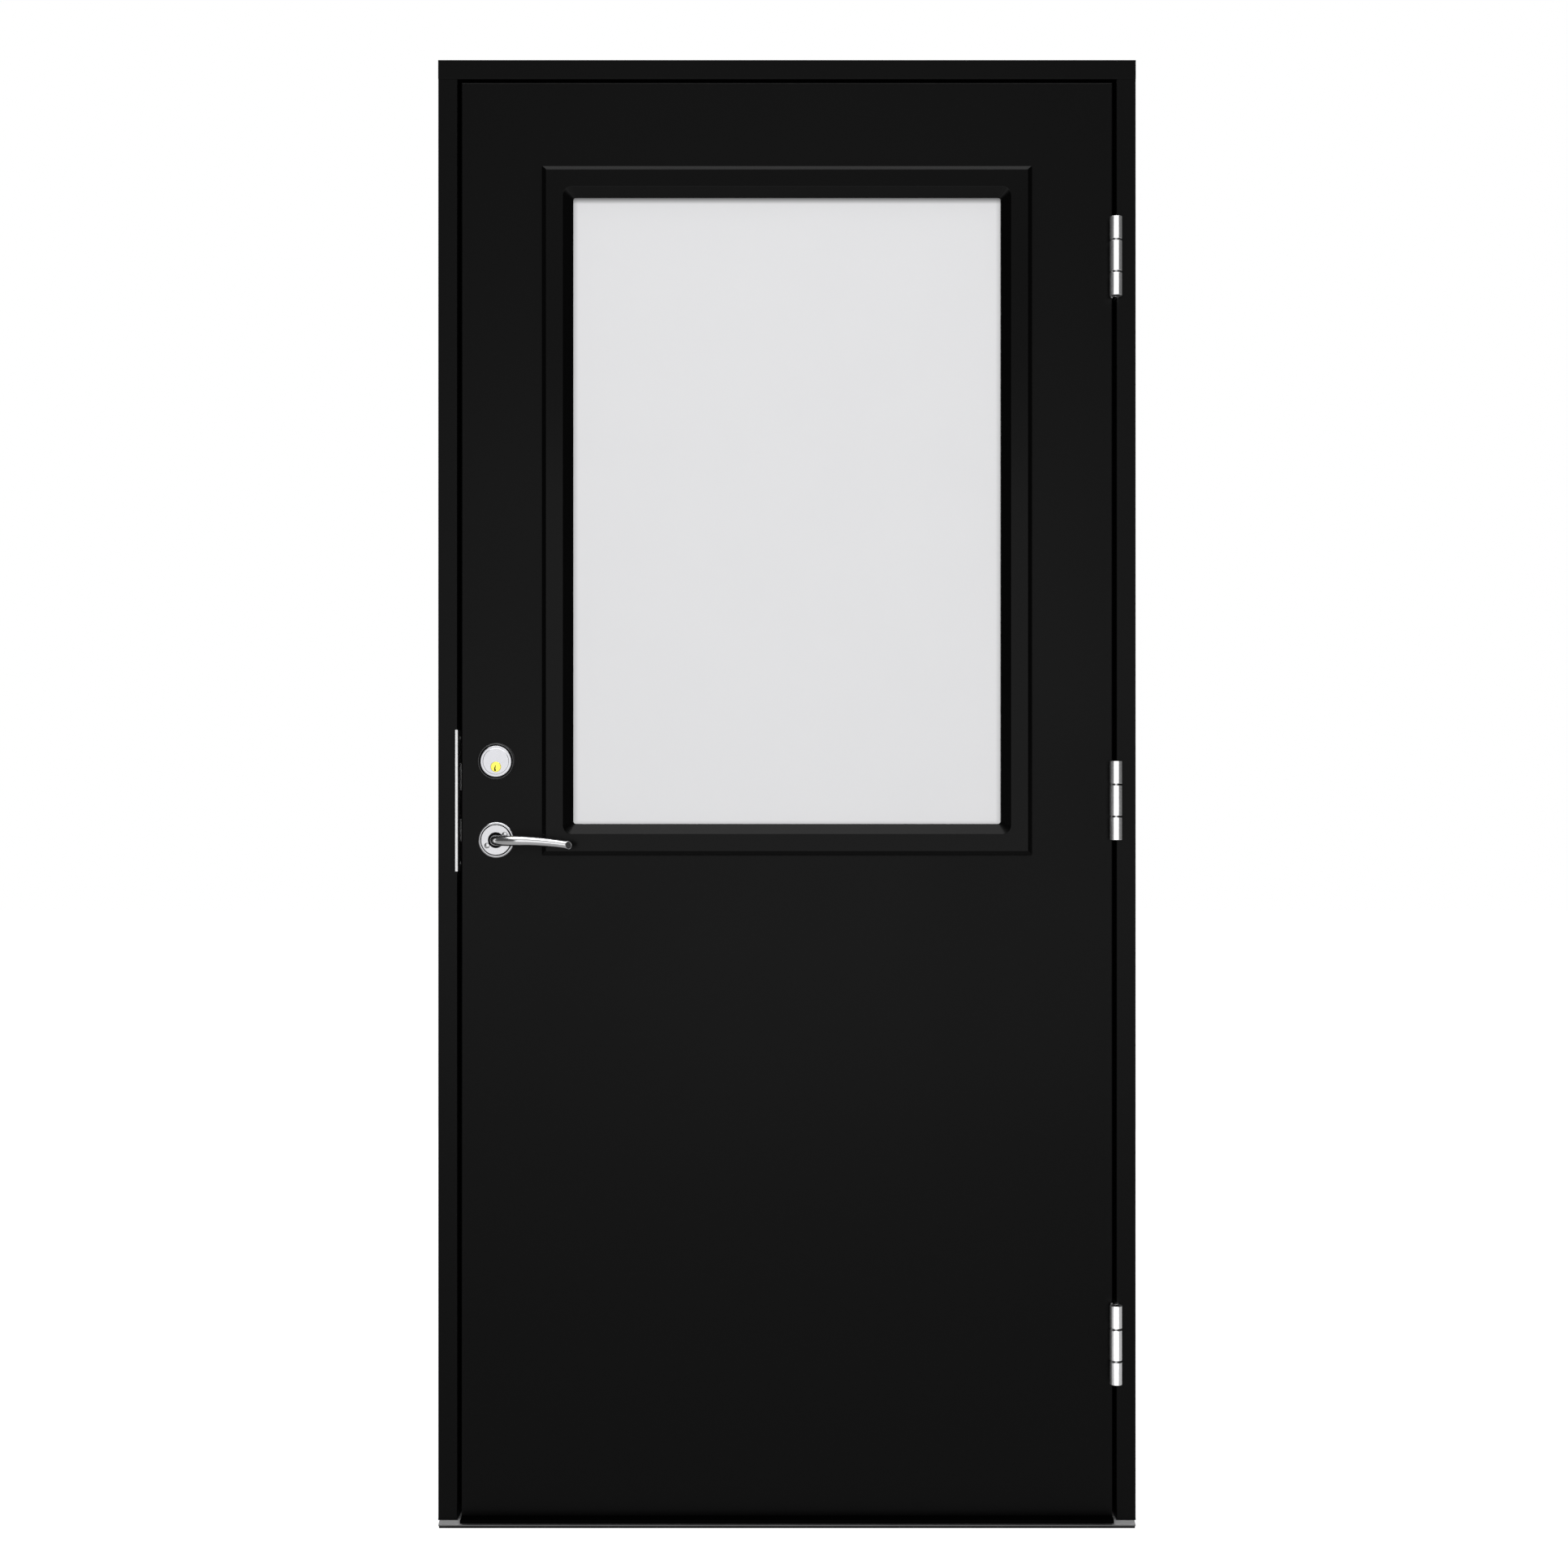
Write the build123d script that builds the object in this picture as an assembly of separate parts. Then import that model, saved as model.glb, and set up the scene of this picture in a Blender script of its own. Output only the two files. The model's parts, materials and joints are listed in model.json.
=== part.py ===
from build123d import *
import math
import os

# Exterior door in its frame: a flush leaf with a frosted window, hung on three barrel hinges.
# Millimetres. X runs along the wall, Y points indoors, Z is up.
# The origin is on the underside of the threshold, in the plane of the frame's outer face.

# Frame
FRAME_WIDTH = 990.0
FRAME_HEIGHT = 2080.0
FRAME_DEPTH = 105.0
FRAME_FACE = 27.5           # width of jamb and head that shows beside the leaf
STOP_STEP = 17.5            # how far the stop stands in past the rebate
SEAL_SPACE = 8.0            # room for the seal between leaf and stop
FRAME_ROUND = 1.5           # rounding of the frame's long edges

# Threshold
THRESHOLD_BASE = 8.0
THRESHOLD_RIDGE = 25.0      # height of the ridge that the leaf closes against
NOSE_OUT = 11.0
NOSE_HEIGHT = 4.5
NOSE_ROUND = 1.0
THRESHOLD_END_SETBACK = 2.0

# Screw holes that fix the frame to the wall
FIXING_RADIUS = 7.0
FIXING_HEIGHT = 420.0
FIXING_SPACING = 1220.0

# Seals
SEAL_WIDTH = 9.0
SEAL_ROUND = 3.0
SEAL_CONTACT = 0.4          # seal lip to leaf
SEAL_INSET = 2.0            # seal from the inner edge of the stop

# Leaf
SIDE_GAP = 5.5
TOP_GAP = 5.0
BOTTOM_GAP = 5.0
LEAF_THICKNESS = 62.0
SKIN = 2.0
SKIN_ROUND = 1.8            # rounding around the outer face of each skin
LATCH_EDGE_BEVEL = 3.2      # lets the inner edge swing past the jamb
RAIL_HEIGHT = 120.0

# Drip bar along the foot of the leaf
DRIP_PROUD = 18.0
DRIP_LIP = 4.0
DRIP_LIP_DROP = 4.4
DRIP_HEIGHT = 1.8
DRIP_TOP_FALL = 0.8
DRIP_END_SETBACK = 0.7

# Glazing
CASSETTE_FROM_SIDE = 114.5
CASSETTE_HEIGHT = 977.0
CASSETTE_FROM_TOP = 119.5
CASSETTE_PROUD = 10.0
CASSETTE_BORDER = 44.7      # outer edge to edge of visible glass
CASSETTE_SEAT = 25.5        # overlap on the leaf around the cut-out
OUTER_BEVEL_WIDTH = 5.5
OUTER_BEVEL_DEPTH = 3.2
CHAMFER_WIDTH = 14.4
CHAMFER_DEPTH = 7.0
CHAMFER_CORNER = 12.5
SIGHT_CORNER = 4.0
SIGHT_LIP = 1.0
GLASS_COVER = 10.0          # glass edge hidden behind the cassette
GLASS_CLEARANCE = 1.0
CUTOUT_CLEARANCE = 0.3
PANE = 4.0
PANE_SPACE = 16.0
SPACER_WIDTH = 8.0

# Hinges
BARREL_RADIUS = 8.7
KNUCKLE_CHAMFER = 0.5
END_KNUCKLE = 32.9
MIDDLE_KNUCKLE = 44.8
KNUCKLE_GAP = 0.4
PIN_RADIUS = 4.5
PIN_CLEARANCE = 0.05
PIN_FORWARD = 14.5          # pin axis in front of the leaf's face
HINGE_PLATE = 2.5
HINGE_PLATE_DEPTH = 32.0
LOWER_HINGE_HEIGHT = 260.4
UPPER_HINGE_FROM_TOP = 282.2

# Lock side
BACKSET = 50.0
LEVER_HEIGHT = 973.0
LOCK_ABOVE_LEVER = 111.4
STRIKE_LENGTH = 201.0
STRIKE_THICKNESS = 5.0
STRIKE_DEPTH = 44.0
STRIKE_FRONT_PROUD = 0.8
STRIKE_SIDE_PROUD = 0.5
BOLT_POCKET_DEPTH = 15.0
FACEPLATE_LENGTH = 235.0
FACEPLATE_WIDTH = 22.0
FACEPLATE_THICKNESS = 3.0
BOLT_WIDTH = 14.0
BOLT_LENGTH = 24.0
BOLT_CLEARANCE = 0.3
LATCH_BOLT_HEIGHT = 26.0
LATCH_BOLT_DROP = 42.0      # latch bolt below the middle of the faceplate
DEAD_BOLT_HEIGHT = 34.0
DEAD_BOLT_RISE = 34.0       # dead bolt above the middle of the faceplate
POCKET_MARGIN = 3.0

# Lever set
ROSE_RADIUS = 25.7
ROSE_RIM_HEIGHT = 5.5
ROSE_RIM_BEVEL = 2.0
ROSE_DISC_RADIUS = 21.2
ROSE_THICKNESS = 8.0
ROSE_GROOVE_WIDTH = 0.9
ROSE_GROOVE_DEPTH = 1.2
ROSE_HOLE_RADIUS = 11.5
ROSE_BEARING = 3.0          # floor of the rose that the lever's neck turns in
BEARING_CLEARANCE = 0.05
LEVER_NECK_RADIUS = 8.0
LEVER_RADIUS = 6.5
LEVER_STAND = 55.0          # bar centre line in front of the leaf
LEVER_ELBOW = 38.0
LEVER_TAPER = 18.0          # length in which the neck narrows to the bar
LEVER_REACH = 112.0
LEVER_DROOP = 7.0
LEVER_NECK_GAP = 1.0        # neck to skin
LEVER_END_ANGLE = 40.0
SPINDLE = 8.0
SPINDLE_CLEARANCE = 0.1
SPINDLE_SOCKET = 22.0
SPINDLE_HOLE_RADIUS = 9.0

# Lock cylinder
RING_FOOT_RADIUS = 26.5
RING_TOP_RADIUS = 23.6
RING_HEIGHT = 9.0
CYLINDER_RADIUS = 22.7
CYLINDER_RING_CLEARANCE = 0.1
CYLINDER_FACE_STEP = 0.5
CYLINDER_STEP_RADIUS = 18.7
CYLINDER_BODY_RADIUS = 17.0
CYLINDER_BODY_LENGTH = 34.0
CYLINDER_BODY_CLEARANCE = 0.3
PLUG_RADIUS = 7.3
PLUG_CLEARANCE = 0.05
PLUG_DROP = 7.7
PLUG_PROUD = 0.4
PLUG_LENGTH = 38.0
KEY_SLOT_WIDTH = 2.0
KEY_SLOT_HEIGHT = 8.0
KEY_SLOT_DEPTH = 25.0
KEY_SLOT_DROP = 2.0
TURN_NECK_RADIUS = 7.0
TURN_NECK_LENGTH = 6.0
TURN_WING_HEIGHT = 32.0
TURN_WING_WIDTH = 9.0
TURN_WING_DEPTH = 16.0

# Places that follow from the sizes above
half_width = FRAME_WIDTH / 2
rebate_x = half_width - FRAME_FACE
stop_x = rebate_x - STOP_STEP
leaf_x = rebate_x - SIDE_GAP
stop_y = LEAF_THICKNESS + SEAL_SPACE
head_z = FRAME_HEIGHT - FRAME_FACE
head_stop_z = head_z - STOP_STEP
leaf_bottom = THRESHOLD_BASE + BOTTOM_GAP
leaf_top = head_z - TOP_GAP
inner_skin_y = LEAF_THICKNESS - SKIN
latch_inner_x = -leaf_x + LATCH_EDGE_BEVEL

glazing_z = leaf_top - CASSETTE_FROM_TOP - CASSETTE_HEIGHT / 2
cassette_half = (leaf_x - CASSETTE_FROM_SIDE, CASSETTE_HEIGHT / 2)
sight_half = tuple(h - CASSETTE_BORDER for h in cassette_half)
cutout_half = tuple(h - CASSETTE_SEAT for h in cassette_half)
glass_half = tuple(h + GLASS_COVER for h in sight_half)
glass_front = -CASSETTE_PROUD + CHAMFER_DEPTH + SIGHT_LIP
glass_back = glass_front + 2 * PANE + PANE_SPACE

pin_x = leaf_x + SIDE_GAP / 2
pin_y = -PIN_FORWARD
hinge_height = 2 * END_KNUCKLE + MIDDLE_KNUCKLE + 2 * KNUCKLE_GAP
lower_hinge_z = LOWER_HINGE_HEIGHT
upper_hinge_z = FRAME_HEIGHT - UPPER_HINGE_FROM_TOP
hinge_places = {
    "upper": upper_hinge_z,
    "middle": (upper_hinge_z + lower_hinge_z) / 2,
    "lower": lower_hinge_z,
}

lever_x = -leaf_x + BACKSET
lock_z = LEVER_HEIGHT + LOCK_ABOVE_LEVER
strike_z = LEVER_HEIGHT + LOCK_ABOVE_LEVER / 2
bolt_y = LEAF_THICKNESS / 2
latch_bolt_z = strike_z - LATCH_BOLT_DROP
dead_bolt_z = strike_z + DEAD_BOLT_RISE


# Shapes used by many pieces

def block(x0, x1, y0, y1, z0, z1):
    middle = Pos((x0 + x1) / 2, (y0 + y1) / 2, (z0 + z1) / 2)
    return middle * Box(x1 - x0, y1 - y0, z1 - z0)


def rod_y(radius, x, z, y0, y1):
    return Pos(x, (y0 + y1) / 2, z) * Rot(90, 0, 0) * Cylinder(radius, abs(y1 - y0))


def rod_x(radius, y, z, x0, x1):
    return Pos((x0 + x1) / 2, y, z) * Rot(0, 90, 0) * Cylinder(radius, abs(x1 - x0))


def rod_z(radius, x, y, z0, z1):
    return Pos(x, y, (z0 + z1) / 2) * Cylinder(radius, z1 - z0)


def cone_y(foot_radius, top_radius, x, z, y_foot, y_top):
    foot = Plane(origin=(x, y_foot, z), z_dir=(0, y_top - y_foot, 0))
    height = abs(y_top - y_foot)
    solid = Cone(foot_radius, top_radius, height, align=(Align.CENTER, Align.CENTER, Align.MIN))
    return foot * solid


def prism_x(outline, x0, x1):
    face = Plane.YZ.offset(x0) * make_face(Polyline(*outline, close=True))
    return extrude(face, amount=x1 - x0, dir=(1, 0, 0))


def prism_z(outline, z0, z1):
    face = Plane.XY.offset(z0) * make_face(Polyline(*outline, close=True))
    return extrude(face, amount=z1 - z0, dir=(0, 0, 1))


def round_long_edges(piece, axis, side, radius):
    # Rounds the edges that run along an axis on the outdoor side, 0, or the indoor side, -1.
    edges = piece.edges().filter_by(axis).group_by(Axis.Y)[side]
    return fillet(edges, radius)


def window_plane(y):
    return Plane(origin=(0, y, glazing_z), x_dir=(1, 0, 0), z_dir=(0, -1, 0))


def window_block(half, y0, y1):
    return block(-half[0], half[0], y0, y1, glazing_z - half[1], glazing_z + half[1])


def window_outline(half, corner, y):
    return window_plane(y) * RectangleRounded(2 * half[0], 2 * half[1], corner)


# Frame pieces

def fixing_holes(side):
    x_in = side * (stop_x - POCKET_MARGIN)
    x_out = side * (half_width + POCKET_MARGIN)
    y = (stop_y + FRAME_DEPTH) / 2
    heights = (FIXING_HEIGHT, FIXING_HEIGHT + FIXING_SPACING)
    return [rod_x(FIXING_RADIUS, y, z, x_in, x_out) for z in heights]


def plain_jamb(side):
    front = block(rebate_x, half_width, 0, stop_y, THRESHOLD_BASE, head_z)
    back = block(stop_x, half_width, stop_y, FRAME_DEPTH, THRESHOLD_BASE, head_z)
    front = round_long_edges(front, Axis.Z, 0, FRAME_ROUND)
    back = round_long_edges(back, Axis.Z, -1, FRAME_ROUND)
    jamb = front + back
    if side < 0:
        jamb = mirror(jamb, about=Plane.YZ)
    for hole in fixing_holes(side):
        jamb -= hole
    return jamb


def frame_hinge_plate_block(z):
    half = hinge_height / 2
    return block(rebate_x, rebate_x + HINGE_PLATE, 0, HINGE_PLATE_DEPTH, z - half, z + half)


def hinge_jamb():
    jamb = plain_jamb(1)
    for z in hinge_places.values():
        jamb -= frame_hinge_plate_block(z)
    return jamb


def strike_block():
    x1 = -rebate_x + STRIKE_SIDE_PROUD
    x0 = x1 - STRIKE_THICKNESS
    half = STRIKE_LENGTH / 2
    return block(x0, x1, -STRIKE_FRONT_PROUD, STRIKE_DEPTH, strike_z - half, strike_z + half)


def bolt_pockets():
    x1 = -rebate_x + STRIKE_SIDE_PROUD
    x0 = x1 - STRIKE_THICKNESS - BOLT_POCKET_DEPTH
    pockets = []
    for z, height in ((latch_bolt_z, LATCH_BOLT_HEIGHT), (dead_bolt_z, DEAD_BOLT_HEIGHT)):
        half_z = height / 2 + POCKET_MARGIN
        half_y = BOLT_WIDTH / 2 + POCKET_MARGIN
        pockets.append(block(x0, x1, bolt_y - half_y, bolt_y + half_y, z - half_z, z + half_z))
    return pockets


def latch_jamb():
    jamb = plain_jamb(-1) - strike_block()
    for pocket in bolt_pockets():
        jamb -= pocket
    return jamb


def strike_plate():
    plate = strike_block()
    for pocket in bolt_pockets():
        plate -= pocket
    return plate


def frame_head():
    board = block(-half_width, half_width, 0, FRAME_DEPTH, head_z, FRAME_HEIGHT)
    stop = block(-stop_x, stop_x, stop_y, FRAME_DEPTH, head_stop_z, head_z)
    return round_long_edges(board + stop, Axis.X, 0, FRAME_ROUND)


def threshold():
    half = half_width - THRESHOLD_END_SETBACK
    outline = [
        (-NOSE_OUT, 0),
        (-NOSE_OUT, NOSE_HEIGHT),
        (0, THRESHOLD_BASE),
        (FRAME_DEPTH, THRESHOLD_BASE),
        (FRAME_DEPTH, 0),
    ]
    base = prism_x(outline, -half, half)
    nose = base.edges().filter_by(Axis.X).group_by(Axis.Y)[0].sort_by(Axis.Z)[-1]
    base = fillet(nose, NOSE_ROUND)
    ridge = block(-stop_x, stop_x, stop_y, FRAME_DEPTH, THRESHOLD_BASE, THRESHOLD_RIDGE)
    return base + ridge


def seal_section():
    return RectangleRounded(SEAL_WIDTH, SEAL_SPACE - SEAL_CONTACT, SEAL_ROUND)


seal_y = LEAF_THICKNESS + (SEAL_SPACE + SEAL_CONTACT) / 2
seal_from_stop = SEAL_INSET + SEAL_WIDTH / 2


def jamb_seal(side):
    foot = THRESHOLD_RIDGE
    top = head_stop_z + SEAL_INSET
    section = Plane.XY.offset(foot) * Pos(side * (stop_x + seal_from_stop), seal_y) * seal_section()
    return extrude(section, amount=top - foot, dir=(0, 0, 1))


def level_seal(z, half_length):
    plane = Plane(origin=(-half_length, seal_y, z), x_dir=(0, 0, 1), z_dir=(1, 0, 0))
    return extrude(plane * seal_section(), amount=2 * half_length, dir=(1, 0, 0))


def head_seal():
    return level_seal(head_stop_z + seal_from_stop, stop_x + SEAL_INSET + SEAL_WIDTH)


def threshold_seal():
    return level_seal(THRESHOLD_RIDGE - seal_from_stop, stop_x)


# Hinges

def knuckle(z0, z1):
    barrel = rod_z(BARREL_RADIUS, pin_x, pin_y, z0, z1)
    return chamfer(barrel.edges().filter_by(GeomType.CIRCLE), KNUCKLE_CHAMFER)


def pin_hole(z):
    return rod_z(PIN_RADIUS + PIN_CLEARANCE, pin_x, pin_y, z - hinge_height, z + hinge_height)


def hinge_frame_plate(z):
    half = hinge_height / 2
    plate = frame_hinge_plate_block(z)
    for z0, z1 in ((z - half, z - half + END_KNUCKLE), (z + half - END_KNUCKLE, z + half)):
        plate += block(rebate_x, rebate_x + HINGE_PLATE, pin_y, 0, z0, z1)
        plate += knuckle(z0, z1)
    return plate - pin_hole(z)


def door_hinge_plate_block(z):
    half = hinge_height / 2
    return block(leaf_x - HINGE_PLATE, leaf_x, 0, HINGE_PLATE_DEPTH, z - half, z + half)


def hinge_door_plate(z):
    half = MIDDLE_KNUCKLE / 2
    plate = door_hinge_plate_block(z)
    plate += block(leaf_x - HINGE_PLATE, leaf_x, pin_y, 0, z - half, z + half)
    plate += knuckle(z - half, z + half)
    return plate - pin_hole(z)


def hinge_pin(z):
    return rod_z(PIN_RADIUS, pin_x, pin_y, z - hinge_height / 2, z + hinge_height / 2)


# Leaf

def lock_edge(z):
    # Place on the bevelled latch edge, with local -X facing out of the leaf.
    angle = math.degrees(math.atan2(LATCH_EDGE_BEVEL, LEAF_THICKNESS))
    return Pos(-leaf_x + LATCH_EDGE_BEVEL / 2, bolt_y, z) * Rot(0, 0, -angle)


def edge_block(z, depth, width, height):
    solid = Box(depth, width, height, align=(Align.MIN, Align.CENTER, Align.CENTER))
    return lock_edge(z) * solid


def bolt_block(z, height, clearance):
    grown = 2 * clearance
    return edge_block(z, BOLT_LENGTH + clearance, BOLT_WIDTH + grown, height + grown)


def faceplate_block():
    return edge_block(strike_z, FACEPLATE_THICKNESS, FACEPLATE_WIDTH, FACEPLATE_LENGTH)


def bolt_holes():
    return [
        bolt_block(latch_bolt_z, LATCH_BOLT_HEIGHT, BOLT_CLEARANCE),
        bolt_block(dead_bolt_z, DEAD_BOLT_HEIGHT, BOLT_CLEARANCE),
    ]


def lock_faceplate():
    plate = faceplate_block()
    for hole in bolt_holes():
        plate -= hole
    return plate


def spindle_hole():
    return rod_y(SPINDLE_HOLE_RADIUS, lever_x, LEVER_HEIGHT, -POCKET_MARGIN, LEAF_THICKNESS + POCKET_MARGIN)


def cylinder_hole():
    radius = CYLINDER_BODY_RADIUS + CYLINDER_BODY_CLEARANCE
    return rod_y(radius, lever_x, lock_z, -POCKET_MARGIN, CYLINDER_BODY_LENGTH + CYLINDER_BODY_CLEARANCE)


def skin(x0, y0, side):
    sheet = block(x0, leaf_x, y0, y0 + SKIN, leaf_bottom, leaf_top)
    sheet = fillet(sheet.faces().sort_by(Axis.Y)[side].edges(), SKIN_ROUND)
    sheet -= window_block(cutout_half, y0 - SKIN, y0 + 2 * SKIN)
    return sheet - spindle_hole()


def outer_skin():
    sheet = skin(-leaf_x, 0, 0) - cylinder_hole()
    for z in hinge_places.values():
        sheet -= door_hinge_plate_block(z)
    return sheet


def inner_skin():
    return skin(latch_inner_x, inner_skin_y, -1)


def hinge_stile():
    stile = block(cutout_half[0], leaf_x, SKIN, inner_skin_y, leaf_bottom, leaf_top)
    for z in hinge_places.values():
        stile -= door_hinge_plate_block(z)
    return stile


def latch_stile():
    slope = LATCH_EDGE_BEVEL / LEAF_THICKNESS
    outline = [
        (-leaf_x + slope * SKIN, SKIN),
        (-leaf_x + slope * inner_skin_y, inner_skin_y),
        (-cutout_half[0], inner_skin_y),
        (-cutout_half[0], SKIN),
    ]
    stile = prism_z(outline, leaf_bottom, leaf_top)
    stile -= faceplate_block()
    for hole in bolt_holes():
        stile -= hole
    return stile - spindle_hole() - cylinder_hole()


def rail(z0, z1):
    return block(-cutout_half[0], cutout_half[0], SKIN, inner_skin_y, z0, z1)


def top_rail():
    return rail(glazing_z + cutout_half[1], leaf_top)


def mid_rail():
    top = glazing_z - cutout_half[1]
    return rail(top - RAIL_HEIGHT, top)


def bottom_rail():
    return rail(leaf_bottom, leaf_bottom + RAIL_HEIGHT)


def drip_bar():
    top = leaf_bottom + DRIP_HEIGHT
    outline = [
        (0, leaf_bottom),
        (0, top),
        (-DRIP_PROUD, top - DRIP_TOP_FALL),
        (-DRIP_PROUD, leaf_bottom - DRIP_LIP_DROP),
        (-DRIP_PROUD + DRIP_LIP, leaf_bottom - DRIP_LIP_DROP),
        (-DRIP_PROUD + DRIP_LIP, leaf_bottom),
    ]
    half = leaf_x - DRIP_END_SETBACK
    return prism_x(outline, -half, half)


# Glazing

def flange(y_foot, out):
    # Bevelled border that stands on a face of the leaf; out is the way it faces, -1 or 1.
    y_step = y_foot + out * (CASSETTE_PROUD - OUTER_BEVEL_DEPTH)
    y_face = y_foot + out * CASSETTE_PROUD
    face_half = tuple(h - OUTER_BEVEL_WIDTH for h in cassette_half)
    foot = window_block(cassette_half, min(y_foot, y_step), max(y_foot, y_step))
    wide = window_plane(y_step) * Rectangle(2 * cassette_half[0], 2 * cassette_half[1])
    narrow = window_plane(y_face) * Rectangle(2 * face_half[0], 2 * face_half[1])
    return foot + loft([wide, narrow], ruled=True)


def splay(y_sight, y_face):
    # Void that widens from the edge of the visible glass to the face of the cassette.
    wide_half = tuple(h + CHAMFER_WIDTH for h in sight_half)
    near = window_outline(sight_half, SIGHT_CORNER, y_sight)
    far = window_outline(wide_half, CHAMFER_CORNER, y_face)
    return loft([near, far], ruled=True)


def sight_hole(y0, y1):
    return extrude(window_outline(sight_half, SIGHT_CORNER, y0), amount=y1 - y0, dir=(0, 1, 0))


sleeve_half = tuple(h - CUTOUT_CLEARANCE for h in cutout_half)
pocket_half = tuple(h + GLASS_CLEARANCE for h in glass_half)


def outer_cassette():
    body = flange(0, -1) + window_block(sleeve_half, 0, glass_back)
    body -= window_block(pocket_half, glass_front, glass_back)
    body -= splay(glass_front - SIGHT_LIP, -CASSETTE_PROUD)
    return body - sight_hole(glass_front - SIGHT_LIP, glass_front)


def inner_cassette():
    y_face = LEAF_THICKNESS + CASSETTE_PROUD
    body = flange(LEAF_THICKNESS, 1) + window_block(sleeve_half, glass_back, LEAF_THICKNESS)
    body -= splay(glass_back + SIGHT_LIP, y_face)
    return body - sight_hole(glass_back, glass_back + SIGHT_LIP)


def outer_pane():
    return window_block(glass_half, glass_front, glass_front + PANE)


def inner_pane():
    return window_block(glass_half, glass_back - PANE, glass_back)


def glass_spacer():
    inside = tuple(h - SPACER_WIDTH for h in glass_half)
    y0 = glass_front + PANE
    y1 = glass_back - PANE
    return window_block(glass_half, y0, y1) - window_block(inside, y0, y1)


# Lever set

def outer_rose():
    front = -ROSE_THICKNESS
    rim = -ROSE_RIM_HEIGHT
    edge = rim + ROSE_RIM_BEVEL
    groove_floor = rim + ROSE_GROOVE_DEPTH
    groove_radius = ROSE_DISC_RADIUS + ROSE_GROOVE_WIDTH
    rose = rod_y(ROSE_RADIUS, lever_x, LEVER_HEIGHT, edge, 0)
    rose += cone_y(ROSE_RADIUS, ROSE_RADIUS - ROSE_RIM_BEVEL, lever_x, LEVER_HEIGHT, edge, rim)
    rose -= rod_y(groove_radius, lever_x, LEVER_HEIGHT, rim, groove_floor)
    rose += rod_y(ROSE_DISC_RADIUS, lever_x, LEVER_HEIGHT, front, groove_floor)
    recess = rod_y(ROSE_HOLE_RADIUS, lever_x, LEVER_HEIGHT, front, -ROSE_BEARING)
    bearing = rod_y(LEVER_NECK_RADIUS + BEARING_CLEARANCE, lever_x, LEVER_HEIGHT, front, 0)
    return rose - recess - bearing


def outer_lever():
    neck_start = -LEVER_NECK_GAP
    bar_y = -LEVER_STAND
    elbow_start = (0, bar_y + LEVER_ELBOW, 0)
    elbow_end = (LEVER_ELBOW, bar_y, 0)
    bow_start = (LEVER_ELBOW + LEVER_TAPER, bar_y, 0)
    bow_end = (LEVER_REACH, bar_y, -LEVER_DROOP)
    neck_path = Wire([
        Line((0, neck_start, 0), elbow_start).edge(),
        TangentArc(elbow_start, elbow_end, tangent=(0, -1, 0)).edge(),
    ])
    neck_foot = Plane(origin=(0, neck_start, 0), z_dir=(0, -1, 0))
    neck = sweep(neck_foot * Circle(LEVER_NECK_RADIUS), path=neck_path)
    taper = Cone(
        LEVER_NECK_RADIUS, LEVER_RADIUS, LEVER_TAPER,
        align=(Align.CENTER, Align.CENTER, Align.MIN),
    )
    taper = Plane(origin=elbow_end, z_dir=(1, 0, 0)) * taper
    bow_foot = Plane(origin=bow_start, z_dir=(1, 0, 0))
    bow_path = TangentArc(bow_start, bow_end, tangent=(1, 0, 0))
    bow = sweep(bow_foot * Circle(LEVER_RADIUS), path=bow_path)
    socket = SPINDLE / 2 + SPINDLE_CLEARANCE
    bar = neck + taper + bow
    bar -= block(-socket, socket, -SPINDLE_SOCKET, neck_start, -socket, socket)
    cut_size = 4 * LEVER_RADIUS
    cutter = Box(cut_size, cut_size, cut_size, align=(Align.MIN, Align.CENTER, Align.CENTER))
    end = Pos(LEVER_REACH - LEVER_RADIUS, bar_y, -LEVER_DROOP) * Rot(0, 0, -LEVER_END_ANGLE)
    bar -= end * cutter
    return Pos(lever_x, 0, LEVER_HEIGHT) * bar


def to_inside(piece):
    return mirror(piece, about=Plane.XZ.offset(-LEAF_THICKNESS / 2))


def spindle():
    side = SPINDLE / 2
    reach = SPINDLE_SOCKET
    return block(
        lever_x - side, lever_x + side,
        -reach, LEAF_THICKNESS + reach,
        LEVER_HEIGHT - side, LEVER_HEIGHT + side,
    )


# Lock cylinder

plug_z = lock_z - PLUG_DROP


def cylinder_ring():
    ring = cone_y(RING_FOOT_RADIUS, RING_TOP_RADIUS, lever_x, lock_z, 0, -RING_HEIGHT)
    hole = rod_y(CYLINDER_RADIUS + CYLINDER_RING_CLEARANCE, lever_x, lock_z, -RING_HEIGHT, 0)
    return ring - hole


def lock_cylinder():
    face = -RING_HEIGHT - CYLINDER_FACE_STEP
    disc = rod_y(CYLINDER_RADIUS, lever_x, lock_z, -RING_HEIGHT, 0)
    disc += rod_y(CYLINDER_STEP_RADIUS, lever_x, lock_z, face, -RING_HEIGHT)
    disc += rod_y(CYLINDER_BODY_RADIUS, lever_x, lock_z, 0, CYLINDER_BODY_LENGTH)
    hole_end = face - PLUG_PROUD + PLUG_LENGTH
    return disc - rod_y(PLUG_RADIUS + PLUG_CLEARANCE, lever_x, plug_z, face, hole_end)


def key_plug():
    front = -RING_HEIGHT - CYLINDER_FACE_STEP - PLUG_PROUD
    plug = rod_y(PLUG_RADIUS, lever_x, plug_z, front, front + PLUG_LENGTH)
    slot_z = plug_z - KEY_SLOT_DROP
    half_x = KEY_SLOT_WIDTH / 2
    half_z = KEY_SLOT_HEIGHT / 2
    slot = block(
        lever_x - half_x, lever_x + half_x,
        front, front + KEY_SLOT_DEPTH,
        slot_z - half_z, slot_z + half_z,
    )
    return plug - slot


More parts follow.
